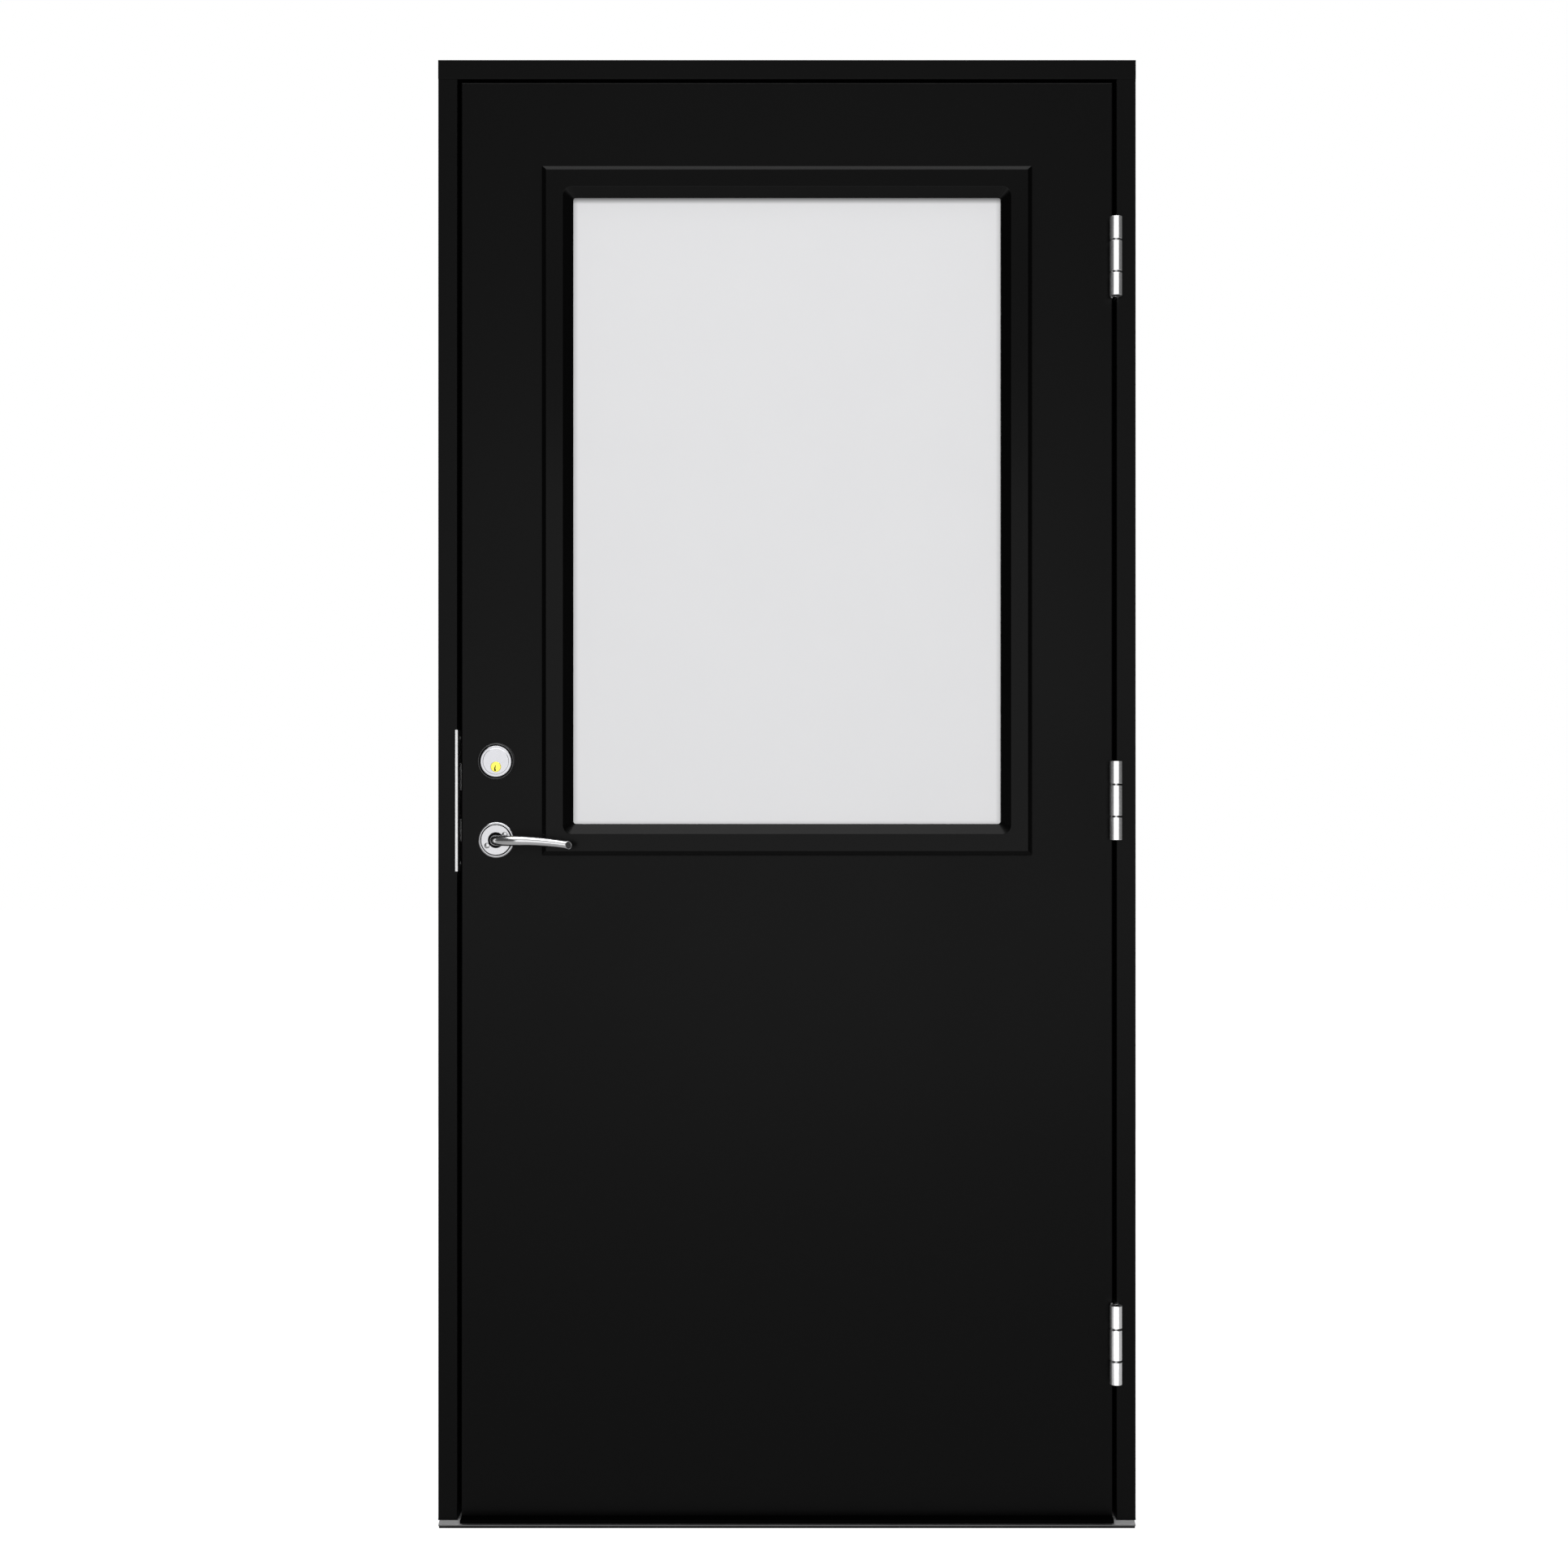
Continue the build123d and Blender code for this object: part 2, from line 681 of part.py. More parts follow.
def inner_cylinder_rose():
    face = LEAF_THICKNESS
    return cone_y(RING_FOOT_RADIUS, RING_TOP_RADIUS, lever_x, lock_z, face, face + RING_HEIGHT)


def thumb_turn():
    foot = LEAF_THICKNESS + RING_HEIGHT
    neck = rod_y(TURN_NECK_RADIUS, lever_x, lock_z, foot, foot + TURN_NECK_LENGTH)
    half_x = TURN_WING_WIDTH / 2
    half_z = TURN_WING_HEIGHT / 2
    wing_foot = foot + TURN_NECK_LENGTH
    wing = block(
        lever_x - half_x, lever_x + half_x,
        wing_foot, wing_foot + TURN_WING_DEPTH,
        lock_z - half_z, lock_z + half_z,
    )
    return neck + wing


# Every piece by its name

def all_pieces():
    pieces = {
        "frame_head": frame_head(),
        "hinge_jamb": hinge_jamb(),
        "latch_jamb": latch_jamb(),
        "threshold": threshold(),
        "head_seal": head_seal(),
        "hinge_jamb_seal": jamb_seal(1),
        "latch_jamb_seal": jamb_seal(-1),
        "threshold_seal": threshold_seal(),
        "strike_plate": strike_plate(),
        "outer_skin": outer_skin(),
        "inner_skin": inner_skin(),
        "hinge_stile": hinge_stile(),
        "latch_stile": latch_stile(),
        "top_rail": top_rail(),
        "mid_rail": mid_rail(),
        "bottom_rail": bottom_rail(),
        "drip_bar": drip_bar(),
        "outer_cassette": outer_cassette(),
        "inner_cassette": inner_cassette(),
        "outer_pane": outer_pane(),
        "inner_pane": inner_pane(),
        "glass_spacer": glass_spacer(),
        "lock_faceplate": lock_faceplate(),
        "latch_bolt": bolt_block(latch_bolt_z, LATCH_BOLT_HEIGHT, 0),
        "dead_bolt": bolt_block(dead_bolt_z, DEAD_BOLT_HEIGHT, 0),
        "outer_rose": outer_rose(),
        "inner_rose": to_inside(outer_rose()),
        "outer_lever": outer_lever(),
        "inner_lever": to_inside(outer_lever()),
        "spindle": spindle(),
        "cylinder_ring": cylinder_ring(),
        "lock_cylinder": lock_cylinder(),
        "key_plug": key_plug(),
        "inner_cylinder_rose": inner_cylinder_rose(),
        "thumb_turn": thumb_turn(),
    }
    for place, z in hinge_places.items():
        pieces[place + "_hinge_frame_plate"] = hinge_frame_plate(z)
        pieces[place + "_hinge_door_plate"] = hinge_door_plate(z)
        pieces[place + "_hinge_pin"] = hinge_pin(z)
    return pieces


os.makedirs("parts", exist_ok=True)
for name, solid in all_pieces().items():
    export_step(solid, "parts/" + name + ".step")
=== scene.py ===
import json
import math

import bmesh
import bpy
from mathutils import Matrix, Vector


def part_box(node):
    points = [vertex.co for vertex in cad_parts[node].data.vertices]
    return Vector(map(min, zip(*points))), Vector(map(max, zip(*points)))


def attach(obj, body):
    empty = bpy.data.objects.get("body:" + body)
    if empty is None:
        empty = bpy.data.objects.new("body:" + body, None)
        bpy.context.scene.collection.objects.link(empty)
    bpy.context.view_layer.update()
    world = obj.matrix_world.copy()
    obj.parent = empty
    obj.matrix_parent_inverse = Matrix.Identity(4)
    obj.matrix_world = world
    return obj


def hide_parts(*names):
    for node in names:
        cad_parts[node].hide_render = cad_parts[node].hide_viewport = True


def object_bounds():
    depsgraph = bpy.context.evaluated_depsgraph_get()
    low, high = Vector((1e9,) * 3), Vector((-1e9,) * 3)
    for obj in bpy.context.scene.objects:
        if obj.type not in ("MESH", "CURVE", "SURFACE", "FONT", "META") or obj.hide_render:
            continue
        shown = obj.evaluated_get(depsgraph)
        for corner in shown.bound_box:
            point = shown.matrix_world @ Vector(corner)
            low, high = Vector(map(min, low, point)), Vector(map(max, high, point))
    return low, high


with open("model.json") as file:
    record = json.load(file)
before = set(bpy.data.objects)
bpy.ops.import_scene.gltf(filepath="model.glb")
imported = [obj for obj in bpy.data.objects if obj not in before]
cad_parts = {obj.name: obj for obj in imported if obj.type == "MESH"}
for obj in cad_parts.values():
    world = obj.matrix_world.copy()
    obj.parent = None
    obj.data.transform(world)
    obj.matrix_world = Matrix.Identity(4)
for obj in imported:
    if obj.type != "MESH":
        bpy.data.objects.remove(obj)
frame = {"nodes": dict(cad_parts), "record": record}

# Exterior door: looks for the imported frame, in metres. Settings dictionaries are in millimetres and degrees.
mm = 0.001
hair = mm / 100  # two places closer than this are one
weld = mm / 1000  # vertices closer than this are merged
skim = 0.05  # a turned wall's faces lie less than this inside its radius
cadLow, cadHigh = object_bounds()  # the CAD model's own box
print("frame loaded:", len(frame["nodes"]), "CAD nodes")


def middleOf(node):
    low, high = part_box(node)
    return (low + high) / 2


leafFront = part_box("outer_skin")[0].y
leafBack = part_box("inner_skin")[1].y
leverAxis = middleOf("spindle")
lockAxis = middleOf("cylinder_ring")
plugAxis = middleOf("key_plug")
outdoors = Vector((0, -1, 0))
indoors = Vector((0, 1, 0))


# Hand moves that every piece needs

def clearSelection():
    if bpy.context.mode != "OBJECT":
        bpy.ops.object.mode_set(mode="OBJECT")
    bpy.ops.object.select_all(action="DESELECT")


def takeUp(piece):  # the one selected and active object
    clearSelection()
    piece.select_set(True)
    bpy.context.view_layer.objects.active = piece


def nameNew(name):  # the primitive just added, with its place moved into its mesh
    piece = bpy.context.active_object
    piece.name = name
    piece.data.name = name
    bpy.ops.object.transform_apply(location=True, rotation=True, scale=True)
    return piece


def pick(piece, kind, test):
    bpy.ops.mesh.select_mode(type=kind)
    bpy.ops.mesh.select_all(action="DESELECT")
    mesh = bmesh.from_edit_mesh(piece.data)
    for part in {"VERT": mesh.verts, "EDGE": mesh.edges, "FACE": mesh.faces}[kind]:
        if test(part):
            part.select_set(True)
    mesh.select_flush_mode()
    bmesh.update_edit_mesh(piece.data)


def closeShell():  # merges doubles and turns every face outwards
    bpy.ops.mesh.select_all(action="SELECT")
    bpy.ops.mesh.remove_doubles(threshold=weld)
    bpy.ops.mesh.normals_make_consistent(inside=False)
    bpy.ops.object.mode_set(mode="OBJECT")


def drawOutline(name, corners):  # corners are (point, rounding radius); one vertex pulled from point to point
    clearSelection()
    bpy.ops.mesh.primitive_plane_add(size=mm, location=corners[0][0])
    piece = nameNew(name)
    bpy.ops.object.mode_set(mode="EDIT")
    bpy.ops.mesh.select_mode(type="VERT")
    bpy.ops.mesh.select_all(action="SELECT")
    bpy.ops.mesh.merge(type="CENTER")
    here = corners[0][0]
    for point, rounding in corners[1:]:
        bpy.ops.mesh.extrude_region_move(TRANSFORM_OT_translate={"value": point - here})
        here = point
    bpy.ops.mesh.select_all(action="SELECT")
    bpy.ops.mesh.remove_doubles(threshold=weld)
    for point, rounding in corners:
        if rounding:
            pick(piece, "VERT", lambda vert: (vert.co - point).length < hair)
            bpy.ops.mesh.bevel(offset=rounding * mm, offset_type="OFFSET", segments=5, affect="VERTICES")
    return piece


def turnPiece(name, centre, axis, outline, steps=96):  # outline: (radius, along the axis, rounding)
    across = Vector((0, 0, 1)) if abs(axis.x) > 0.5 else Vector((1, 0, 0))
    corners = [(centre + across * r * mm + axis * a * mm, soft) for r, a, soft in outline]
    if outline[0][0] > 0:
        corners.append((corners[0][0], 0))
    piece = drawOutline(name, corners)
    bpy.ops.mesh.select_all(action="SELECT")
    bpy.ops.mesh.spin(steps=steps, angle=2 * math.pi, center=centre, axis=axis, use_auto_merge=True)
    closeShell()
    return piece


def pullOutline(name, corners, pull):  # a closed outline filled and extruded
    piece = drawOutline(name, corners + [(corners[0][0], 0)])
    bpy.ops.mesh.select_all(action="SELECT")
    bpy.ops.mesh.edge_face_add()
    bpy.ops.mesh.extrude_region_move(TRANSFORM_OT_translate={"value": pull})
    closeShell()
    return piece


def addBlock(name, low, high):
    clearSelection()
    bpy.ops.mesh.primitive_cube_add(size=1, location=(low + high) / 2)
    bpy.context.active_object.scale = high - low
    return nameNew(name)


def applied(piece, kind, **settings):  # adds a modifier, sets it and applies it
    takeUp(piece)
    change = piece.modifiers.new(kind.lower(), kind)
    for setting, value in settings.items():
        setattr(change, setting, value)
    bpy.ops.object.modifier_apply(modifier=change.name)


def soften(piece, width, segments=3, angle=30):
    applied(piece, "BEVEL", width=width * mm, segments=segments, limit_method="ANGLE",
            angle_limit=math.radians(angle), use_clamp_overlap=False)


def shapeBy(piece, other, operation):  # UNION or DIFFERENCE with a second piece, which is used up
    applied(piece, "BOOLEAN", object=other, operation=operation, solver="EXACT")
    bpy.data.objects.remove(other)


def copyPiece(piece, name, shift):
    takeUp(piece)
    bpy.ops.object.duplicate(linked=False)
    bpy.ops.transform.translate(value=shift)
    return nameNew(name)


def joinPieces(name, pieces):
    takeUp(pieces[0])
    for piece in pieces[1:]:
        piece.select_set(True)
    bpy.ops.object.join()
    return nameNew(name)


def settle(piece, body, slot, *replaced, smooth=35):  # shading, finish and the body it moves with
    takeUp(piece)
    bpy.ops.object.shade_smooth_by_angle(angle=math.radians(smooth))
    applied(piece, "WEIGHTED_NORMAL", keep_sharp=True)
    piece.data.materials.clear()
    piece.data.materials.append(finishes[slot])
    dressed[piece.name] = slot
    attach(piece, body)
    if replaced:
        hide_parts(*replaced)


def shadeFaces(piece, finish, test):  # a second finish on the faces that pass; here always a painted shade
    piece.data.materials.append(finish)
    takeUp(piece)
    bpy.ops.object.mode_set(mode="EDIT")
    pick(piece, "FACE", test)
    piece.active_material_index = len(piece.data.materials) - 1
    bpy.ops.object.material_slot_assign()
    bpy.ops.object.mode_set(mode="OBJECT")


def inGroove(face, centre, low, high, top):  # walls and floor of a ring-shaped groove
    spot = face.calc_center_median() - centre
    away = Vector((spot.x, spot.z)).length
    return low * mm < away < high * mm and abs(spot.y) < top * mm


# Finishes

patternRange = (0.3, 0.7)  # the part of a pattern's values that is used


def grey(level, blue=0.0):
    return level, level, level + blue


def newFinish(name, metallic, roughness, specular=0.5):
    finish = bpy.data.materials.new(name)
    finish.use_nodes = True
    shader = finish.node_tree.nodes["Principled BSDF"]
    shader.inputs["Metallic"].default_value = metallic
    shader.inputs["Roughness"].default_value = roughness
    shader.inputs["Specular IOR Level"].default_value = specular
    return finish, finish.node_tree, shader


def placeOn(tree, centre=(0, 0, 0), stretch=(1, 1, 1)):  # Object coordinates about a centre
    place = tree.nodes.new("ShaderNodeTexCoord")
    mapping = tree.nodes.new("ShaderNodeMapping")
    mapping.vector_type = "TEXTURE"
    mapping.inputs["Location"].default_value = centre
    mapping.inputs["Scale"].default_value = [1 / s for s in stretch]
    tree.links.new(place.outputs["Object"], mapping.inputs["Vector"])
    return mapping.outputs["Vector"]


def grain(tree, scale, detail=2.0, stretch=(1, 1, 1)):
    noise = tree.nodes.new("ShaderNodeTexNoise")
    noise.inputs["Scale"].default_value = scale
    noise.inputs["Detail"].default_value = detail
    tree.links.new(placeOn(tree, stretch=stretch), noise.inputs["Vector"])
    return noise.outputs["Fac"]


def rings(tree, scale, centre):  # turning marks about an axis that runs from front to back
    wave = tree.nodes.new("ShaderNodeTexWave")
    wave.wave_type = "RINGS"
    wave.rings_direction = "Y"
    wave.inputs["Scale"].default_value = scale
    wave.inputs["Distortion"].default_value = 1.5
    wave.inputs["Detail Scale"].default_value = 0.6
    tree.links.new(placeOn(tree, centre=centre), wave.inputs["Vector"])
    return wave.outputs["Fac"]


def spread(tree, value, low, high, target):  # a pattern's middle range drives a number
    span = tree.nodes.new("ShaderNodeMapRange")
    span.inputs["From Min"].default_value = patternRange[0]
    span.inputs["From Max"].default_value = patternRange[1]
    span.inputs["To Min"].default_value = low
    span.inputs["To Max"].default_value = high
    tree.links.new(value, span.inputs["Value"])
    tree.links.new(span.outputs["Result"], target)


def tint(tree, value, low, high, target):  # a pattern's middle range drives a colour
    ramp = tree.nodes.new("ShaderNodeValToRGB")
    for stop, position, colour in zip(ramp.color_ramp.elements, patternRange, (low, high)):
        stop.position = position
        stop.color = (*colour, 1)
    tree.links.new(value, ramp.inputs["Fac"])
    tree.links.new(ramp.outputs["Color"], target)


def unevenGloss(tree, value, shader, roughness, swing):
    spread(tree, value, roughness - swing, roughness + swing, shader.inputs["Roughness"])


def relief(tree, shader, layers):  # layers: (pattern, strength, height in millimetres)
    normal = None
    for value, strength, height in layers:
        bump = tree.nodes.new("ShaderNodeBump")
        bump.inputs["Strength"].default_value = strength
        bump.inputs["Distance"].default_value = height * mm
        tree.links.new(value, bump.inputs["Height"])
        if normal:
            tree.links.new(normal, bump.inputs["Normal"])
        normal = bump.outputs["Normal"]
    tree.links.new(normal, shader.inputs["Normal"])


def paintFinish(name, low, high, roughness, specular):  # sprayed satin paint with a fine orange peel
    finish, tree, shader = newFinish(name, metallic=0.0, roughness=roughness, specular=specular)
    clouds = grain(tree, scale=2.5, detail=3.0)
    peel = grain(tree, scale=420, detail=1.0)
    dust = grain(tree, scale=1700)
    tint(tree, clouds, low, high, shader.inputs["Base Color"])
    unevenGloss(tree, clouds, shader, roughness, swing=0.03)
    relief(tree, shader, [(peel, 0.12, 0.03), (dust, 0.08, 0.01)])
    return finish


def brushedFinish(name, low, high, roughness, stretch, metallic=1.0):  # metal brushed along one direction
    finish, tree, shader = newFinish(name, metallic, roughness)
    strokes = grain(tree, scale=1.0, detail=3.0, stretch=stretch)
    clouds = grain(tree, scale=14)
    tint(tree, clouds, low, high, shader.inputs["Base Color"])
    unevenGloss(tree, strokes, shader, roughness, swing=0.05)
    relief(tree, shader, [(strokes, 0.10, 0.02)])
    return finish


def turnedFinish(name, low, high, roughness, centre, metallic=1.0):  # lathe marks
    finish, tree, shader = newFinish(name, metallic, roughness)
    marks = rings(tree, scale=260, centre=centre)
    clouds = grain(tree, scale=90)
    tint(tree, clouds, low, high, shader.inputs["Base Color"])
    unevenGloss(tree, clouds, shader, roughness, swing=0.04)
    relief(tree, shader, [(marks, 0.06, 0.02)])
    return finish


def plateFinish(name, low, high, roughness):  # zinc plating, finely mottled
    finish, tree, shader = newFinish(name, metallic=1.0, roughness=roughness)
    mottle = grain(tree, scale=220, detail=3.0)
    tint(tree, mottle, low, high, shader.inputs["Base Color"])
    unevenGloss(tree, mottle, shader, roughness, swing=0.05)
    relief(tree, shader, [(grain(tree, scale=1500), 0.05, 0.02)])
    return finish


def rubberFinish(name):
    finish, tree, shader = newFinish(name, metallic=0.0, roughness=0.625, specular=0.1)
    speckle = grain(tree, scale=900, detail=3.0)
    tint(tree, speckle, grey(0.0022), grey(0.0040), shader.inputs["Base Color"])
    unevenGloss(tree, grain(tree, scale=40), shader, roughness=0.625, swing=0.075)
    relief(tree, shader, [(speckle, 0.15, 0.05)])
    return finish


def edgeShade(tree, axis, edge, reach, depth, lit):  # painted shade: darkens a pane towards one edge
    parts = tree.nodes.new("ShaderNodeSeparateXYZ")
    tree.links.new(placeOn(tree), parts.inputs["Vector"])
    span = tree.nodes.new("ShaderNodeMapRange")
    span.inputs["From Min"].default_value = edge
    span.inputs["From Max"].default_value = edge + reach * mm
    span.inputs["To Min"].default_value = depth
    tree.links.new(parts.outputs[axis], span.inputs["Value"])
    if lit:
        tree.links.new(lit, span.inputs["To Max"])
    return span.outputs["Result"]


frost = {
    "cover": 10.0, "shade": grey(0.012, 0.001), "white": (grey(0.811, 0.013), grey(0.819, 0.012)),
    "roughness": 0.45,
    "left": (7.0, 0.7), "right": (7.0, 0.7), "foot": (5.0, 0.78), "top": (8.6, 0.12),  # reach, and the light left at the edge under the painted shade
}


def frostedFinish(name):  # etched and only faintly glossy, with the cassette's soft shade painted along its edges
    finish, tree, shader = newFinish(name, metallic=0.0, roughness=frost["roughness"], specular=0.25)
    clouds = grain(tree, scale=9, detail=4.0)
    etching = grain(tree, scale=1400, detail=3.0)
    inset = Vector((1, 0, 1)) * frost["cover"] * mm
    low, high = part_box("outer_pane")
    low = low + inset
    high = high - inset
    lit = None
    sides = [("left", "X", low.x, 1), ("right", "X", high.x, -1),
             ("foot", "Z", low.z, 1), ("top", "Z", high.z, -1)]
    for side, axis, edge, way in sides:
        reach, depth = frost[side]
        lit = edgeShade(tree, axis, edge, way * reach, depth, lit)
    mix = tree.nodes.new("ShaderNodeMix")
    mix.data_type = "RGBA"
    mix.inputs["A"].default_value = (*frost["shade"], 1)
    tint(tree, clouds, *frost["white"], mix.inputs["B"])
    tree.links.new(lit, mix.inputs["Factor"])
    tree.links.new(mix.outputs["Result"], shader.inputs["Base Color"])
    unevenGloss(tree, etching, shader, frost["roughness"], swing=0.05)
    relief(tree, shader, [(etching, 0.08, 0.02)])
    return finish


def clearFinish(name):
    finish, tree, shader = newFinish(name, metallic=0.0, roughness=0.015)
    shader.inputs["Transmission Weight"].default_value = 1.0
    shader.inputs["IOR"].default_value = 1.45
    ripple = grain(tree, scale=6, detail=1.0)
    tint(tree, ripple, (0.93, 0.965, 0.95), (0.95, 0.975, 0.965), shader.inputs["Base Color"])
    unevenGloss(tree, ripple, shader, roughness=0.015, swing=0.015)
    return finish


finishes = {
    "black_paint": paintFinish("satinBlackPaint", grey(0.0011), grey(0.0016), 0.40, 0.13),
    "cassette_black": paintFinish("cassetteBlack", grey(0.0010), grey(0.0015), 0.20, 0.10),
    "drip_black": paintFinish("dripBlack", grey(0.0008), grey(0.0012), 0.55, 0.03),
    "frosted_glass": frostedFinish("frostedGlass"),
    "clear_glass": clearFinish("clearGlass"),
    "spacer_alloy": brushedFinish("spacerAlloy", grey(0.45, 0.01), grey(0.55, 0.01), 0.42, (40, 900, 40)),
    "seal_rubber": rubberFinish("sealRubber"),
    "sill_alloy": brushedFinish("sillAlloy", grey(0.50, 0.005), grey(0.56, 0.005), 0.4,
                                (12, 1300, 1300), 0.5),
    "zinc_plate": plateFinish("zincPlate", grey(0.60, 0.005), grey(0.66), 0.3),
    "hinge_zinc": brushedFinish("hingeZinc", grey(0.76, 0.005), grey(0.83, 0.005), 0.16, (60, 60, 1600), 0.9),
    "bolt_steel": brushedFinish("boltSteel", grey(0.52, 0.01), grey(0.62, 0.01), 0.33, (900, 60, 900)),
    "satin_chrome": brushedFinish("satinChrome", grey(0.56, 0.01), grey(0.62, 0.01), 0.2, (60, 1500, 1500)),
    "ring_dark": turnedFinish("ringDark", grey(0.075, 0.002), grey(0.09, 0.002), 0.36, lockAxis, 0.5),
    "plug_brass": turnedFinish("plugBrass", (0.80, 0.70, 0.10), (0.90, 0.82, 0.16), 0.28, plugAxis),
}
turnedChrome = turnedFinish("turnedChrome", grey(0.52, 0.025), grey(0.57, 0.025), 0.26, lockAxis)
# painted shade: a finish as dark as black rubber, put on the faces of grooves, holes and the key slot where
# shade falls
keywayDark = rubberFinish("keywayDark")
# the pin's steel made darker as painted shade, so that the joints between the knuckles read dark
pinSteel = brushedFinish("pinSteel", grey(0.22, 0.003), grey(0.27, 0.003), 0.16, (60, 60, 1600))
# painted shade: a darker copy of the sill alloy for the nose's forward faces
sillNose = brushedFinish("sillNose", grey(0.20, 0.002), grey(0.24, 0.002), 0.5, (12, 1300, 1300), 0.5)
dressed = {}  # piece name to slot
for subpart in frame["record"]["subparts"]:
    dressed[subpart["node"]] = subpart["material_slot"]
    carried = frame["nodes"][subpart["node"]].data.materials
    carried.clear()
    carried.append(finishes[subpart["material_slot"]])
print("finishes:", len(finishes), "slots dressed")


# Window cassettes: rounded outlines bridged one to the next, back to the first

cassette = {
    "draft": 0.6, "bevelWidth": 6.4, "bevelDepth": 3.2, "proud": 10.0, "border": 44.7, "seat": 25.8,
    "pocket": 11.0, "chamferWidth": 14.4, "chamferCorner": 12.5, "sightCorner": 4.0, "sightLip": 1.0,
    "outerCorner": 1.2, "softEdge": 0.5, "softAngle": 14, "cornerSteps": 8,
    "lap": 0.05,  # keeps the two outlines of a flat face apart, so that the bridge knows its direction
}


def windowLoop(half, corner, y, centre):  # a rounded rectangle of edges
    bpy.ops.mesh.primitive_plane_add(size=2, location=(centre.x, y, centre.z), rotation=(math.pi / 2, 0, 0))
    bpy.context.active_object.scale = (half.x, half.y, 1)
    loop = nameNew("windowLoop")
    bpy.ops.object.mode_set(mode="EDIT")
    bpy.ops.mesh.select_mode(type="VERT")
    bpy.ops.mesh.select_all(action="SELECT")
    bpy.ops.mesh.bevel(offset=corner * mm, offset_type="OFFSET", segments=cassette["cornerSteps"],
                       affect="VERTICES")
    bpy.ops.mesh.delete(type="ONLY_FACE")
    bpy.ops.object.mode_set(mode="OBJECT")
    return loop


def onLoop(vert, half, corner, y, centre):
    radius = corner * mm
    reach = Vector((abs(vert.co.x - centre.x) - half.x + radius, abs(vert.co.z - centre.z) - half.y + radius))
    outside = Vector((max(reach.x, 0), max(reach.y, 0))).length
    inside = min(max(reach.x, reach.y), 0)
    return abs(vert.co.y - y) < hair and abs(outside + inside - radius) < hair


def bridgeCassette(name, loops, centre):
    clearSelection()
    piece = joinPieces(name, [windowLoop(half, corner, y, centre) for half, corner, y in loops])
    bpy.ops.object.mode_set(mode="EDIT")
    for first, second in zip(loops, loops[1:] + loops[:1]):
        pick(piece, "VERT", lambda vert: onLoop(vert, *first, centre) or onLoop(vert, *second, centre))
        bpy.ops.mesh.bridge_edge_loops()
    closeShell()
    soften(piece, cassette["softEdge"], angle=cassette["softAngle"])
    return piece


def buildCassettes():
    low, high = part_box("outer_cassette")
    centre = (low + high) / 2
    outer = Vector((high.x - low.x, high.z - low.z)) / 2

    def inset(amount):
        return outer - Vector((amount, amount)) * mm

    sight = cassette["border"]
    square = cassette["outerCorner"]
    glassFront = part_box("outer_pane")[0].y
    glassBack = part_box("inner_pane")[1].y
    lap = cassette["lap"] * mm

    def flange(foot, out, deepY):  # from the foot on the leaf, over the face, down the splay to the lip
        step = foot + out * (cassette["proud"] - cassette["bevelDepth"]) * mm
        face = foot + out * cassette["proud"] * mm
        return [
            (inset(0), square, foot),
            (inset(cassette["draft"]), square, step),
            (inset(cassette["bevelWidth"]), square, face),
            (inset(sight - cassette["chamferWidth"]), cassette["chamferCorner"], face - out * lap),
            (inset(sight), cassette["sightCorner"], deepY + out * cassette["sightLip"] * mm),
            (inset(sight), cassette["sightCorner"], deepY + out * lap),
        ]

    pocket = inset(sight - cassette["pocket"])
    sleeve = inset(cassette["seat"])
    outdoorLoops = flange(leafFront, -1, glassFront) + [
        (pocket, square, glassFront),
        (pocket, square, glassBack),
        (sleeve, square, glassBack - lap),
        (sleeve, square, leafFront + lap),
    ]
    indoorLoops = flange(leafBack, 1, glassBack) + [
        (sleeve, square, glassBack),
        (sleeve, square, leafBack - lap),
    ]
    settle(bridgeCassette("outerCassette", outdoorLoops, centre), "leaf", "cassette_black", "outer_cassette")
    settle(bridgeCassette("innerCassette", indoorLoops, centre), "leaf", "cassette_black", "inner_cassette")


buildCassettes()
print("cassettes bridged")


# Screws, modelled once for each size and copied

screw = {"sink": 2.2, "shankShare": 0.55, "proud": 0.25, "slope": 0.25, "crown": 0.1, "edge": 0.2,
         "socketShare": 0.48, "socketDepth": 1.4, "sides": 32}


def screwHead(name, centre, axis, radius):
    head = turnPiece(name, centre, axis, [
        (0, -screw["sink"], 0),
        (radius * screw["shankShare"], -screw["sink"], 0),
        (radius, 0, screw["edge"]),
        (radius - screw["slope"], screw["proud"], screw["edge"]),
        (0, screw["proud"] + screw["crown"], 0),
    ], screw["sides"])
    clearSelection()
    turn = axis.to_track_quat("Z", "Y").to_euler()
    bpy.ops.mesh.primitive_cylinder_add(vertices=6, radius=radius * screw["socketShare"] * mm,
                                        depth=2 * screw["socketDepth"] * mm, location=centre, rotation=turn)
    shapeBy(head, nameNew("socketCutter"), "DIFFERENCE")
    return head


def screwRow(name, head, places):  # copies of one head joined into one piece
    start = places[0]
    copies = [copyPiece(head, name, place - start) for place in places[1:]]
    return joinPieces(name, [head] + copies)


# Rose and lever on each side

rose = {
    "radius": 25.7, "rim": 5.5, "rimBevel": 1.4, "rimSoft": 0.9, "disc": 21.2, "height": 8.0, "crown": 0.15,
    "groove": 1.2, "grooveDepth": 2.6, "grooveShade": 0.2, "hole": 10.9, "floor": 3.0, "neckHole": 8.1,
    "discSoft": 0.6, "lipSoft": 0.3, "floorSoft": 0.2, "shadeDrop": 0.5,
    "screwOut": (12.5, 7.7), "screwDrop": 0.3, "screwSeat": 3.9, "seatDepth": 1.3, "seatOver": 1.0,
    "screwRadius": 3.4, "screwSink": 1.5, "screwEdge": 0.4, "screwSoft": 0.3, "shoulderShare": 0.62,
    "screwDome": 0.7, "domeSoft": 0.9, "domeCrown": 0.25, "screwSides": 48,
}


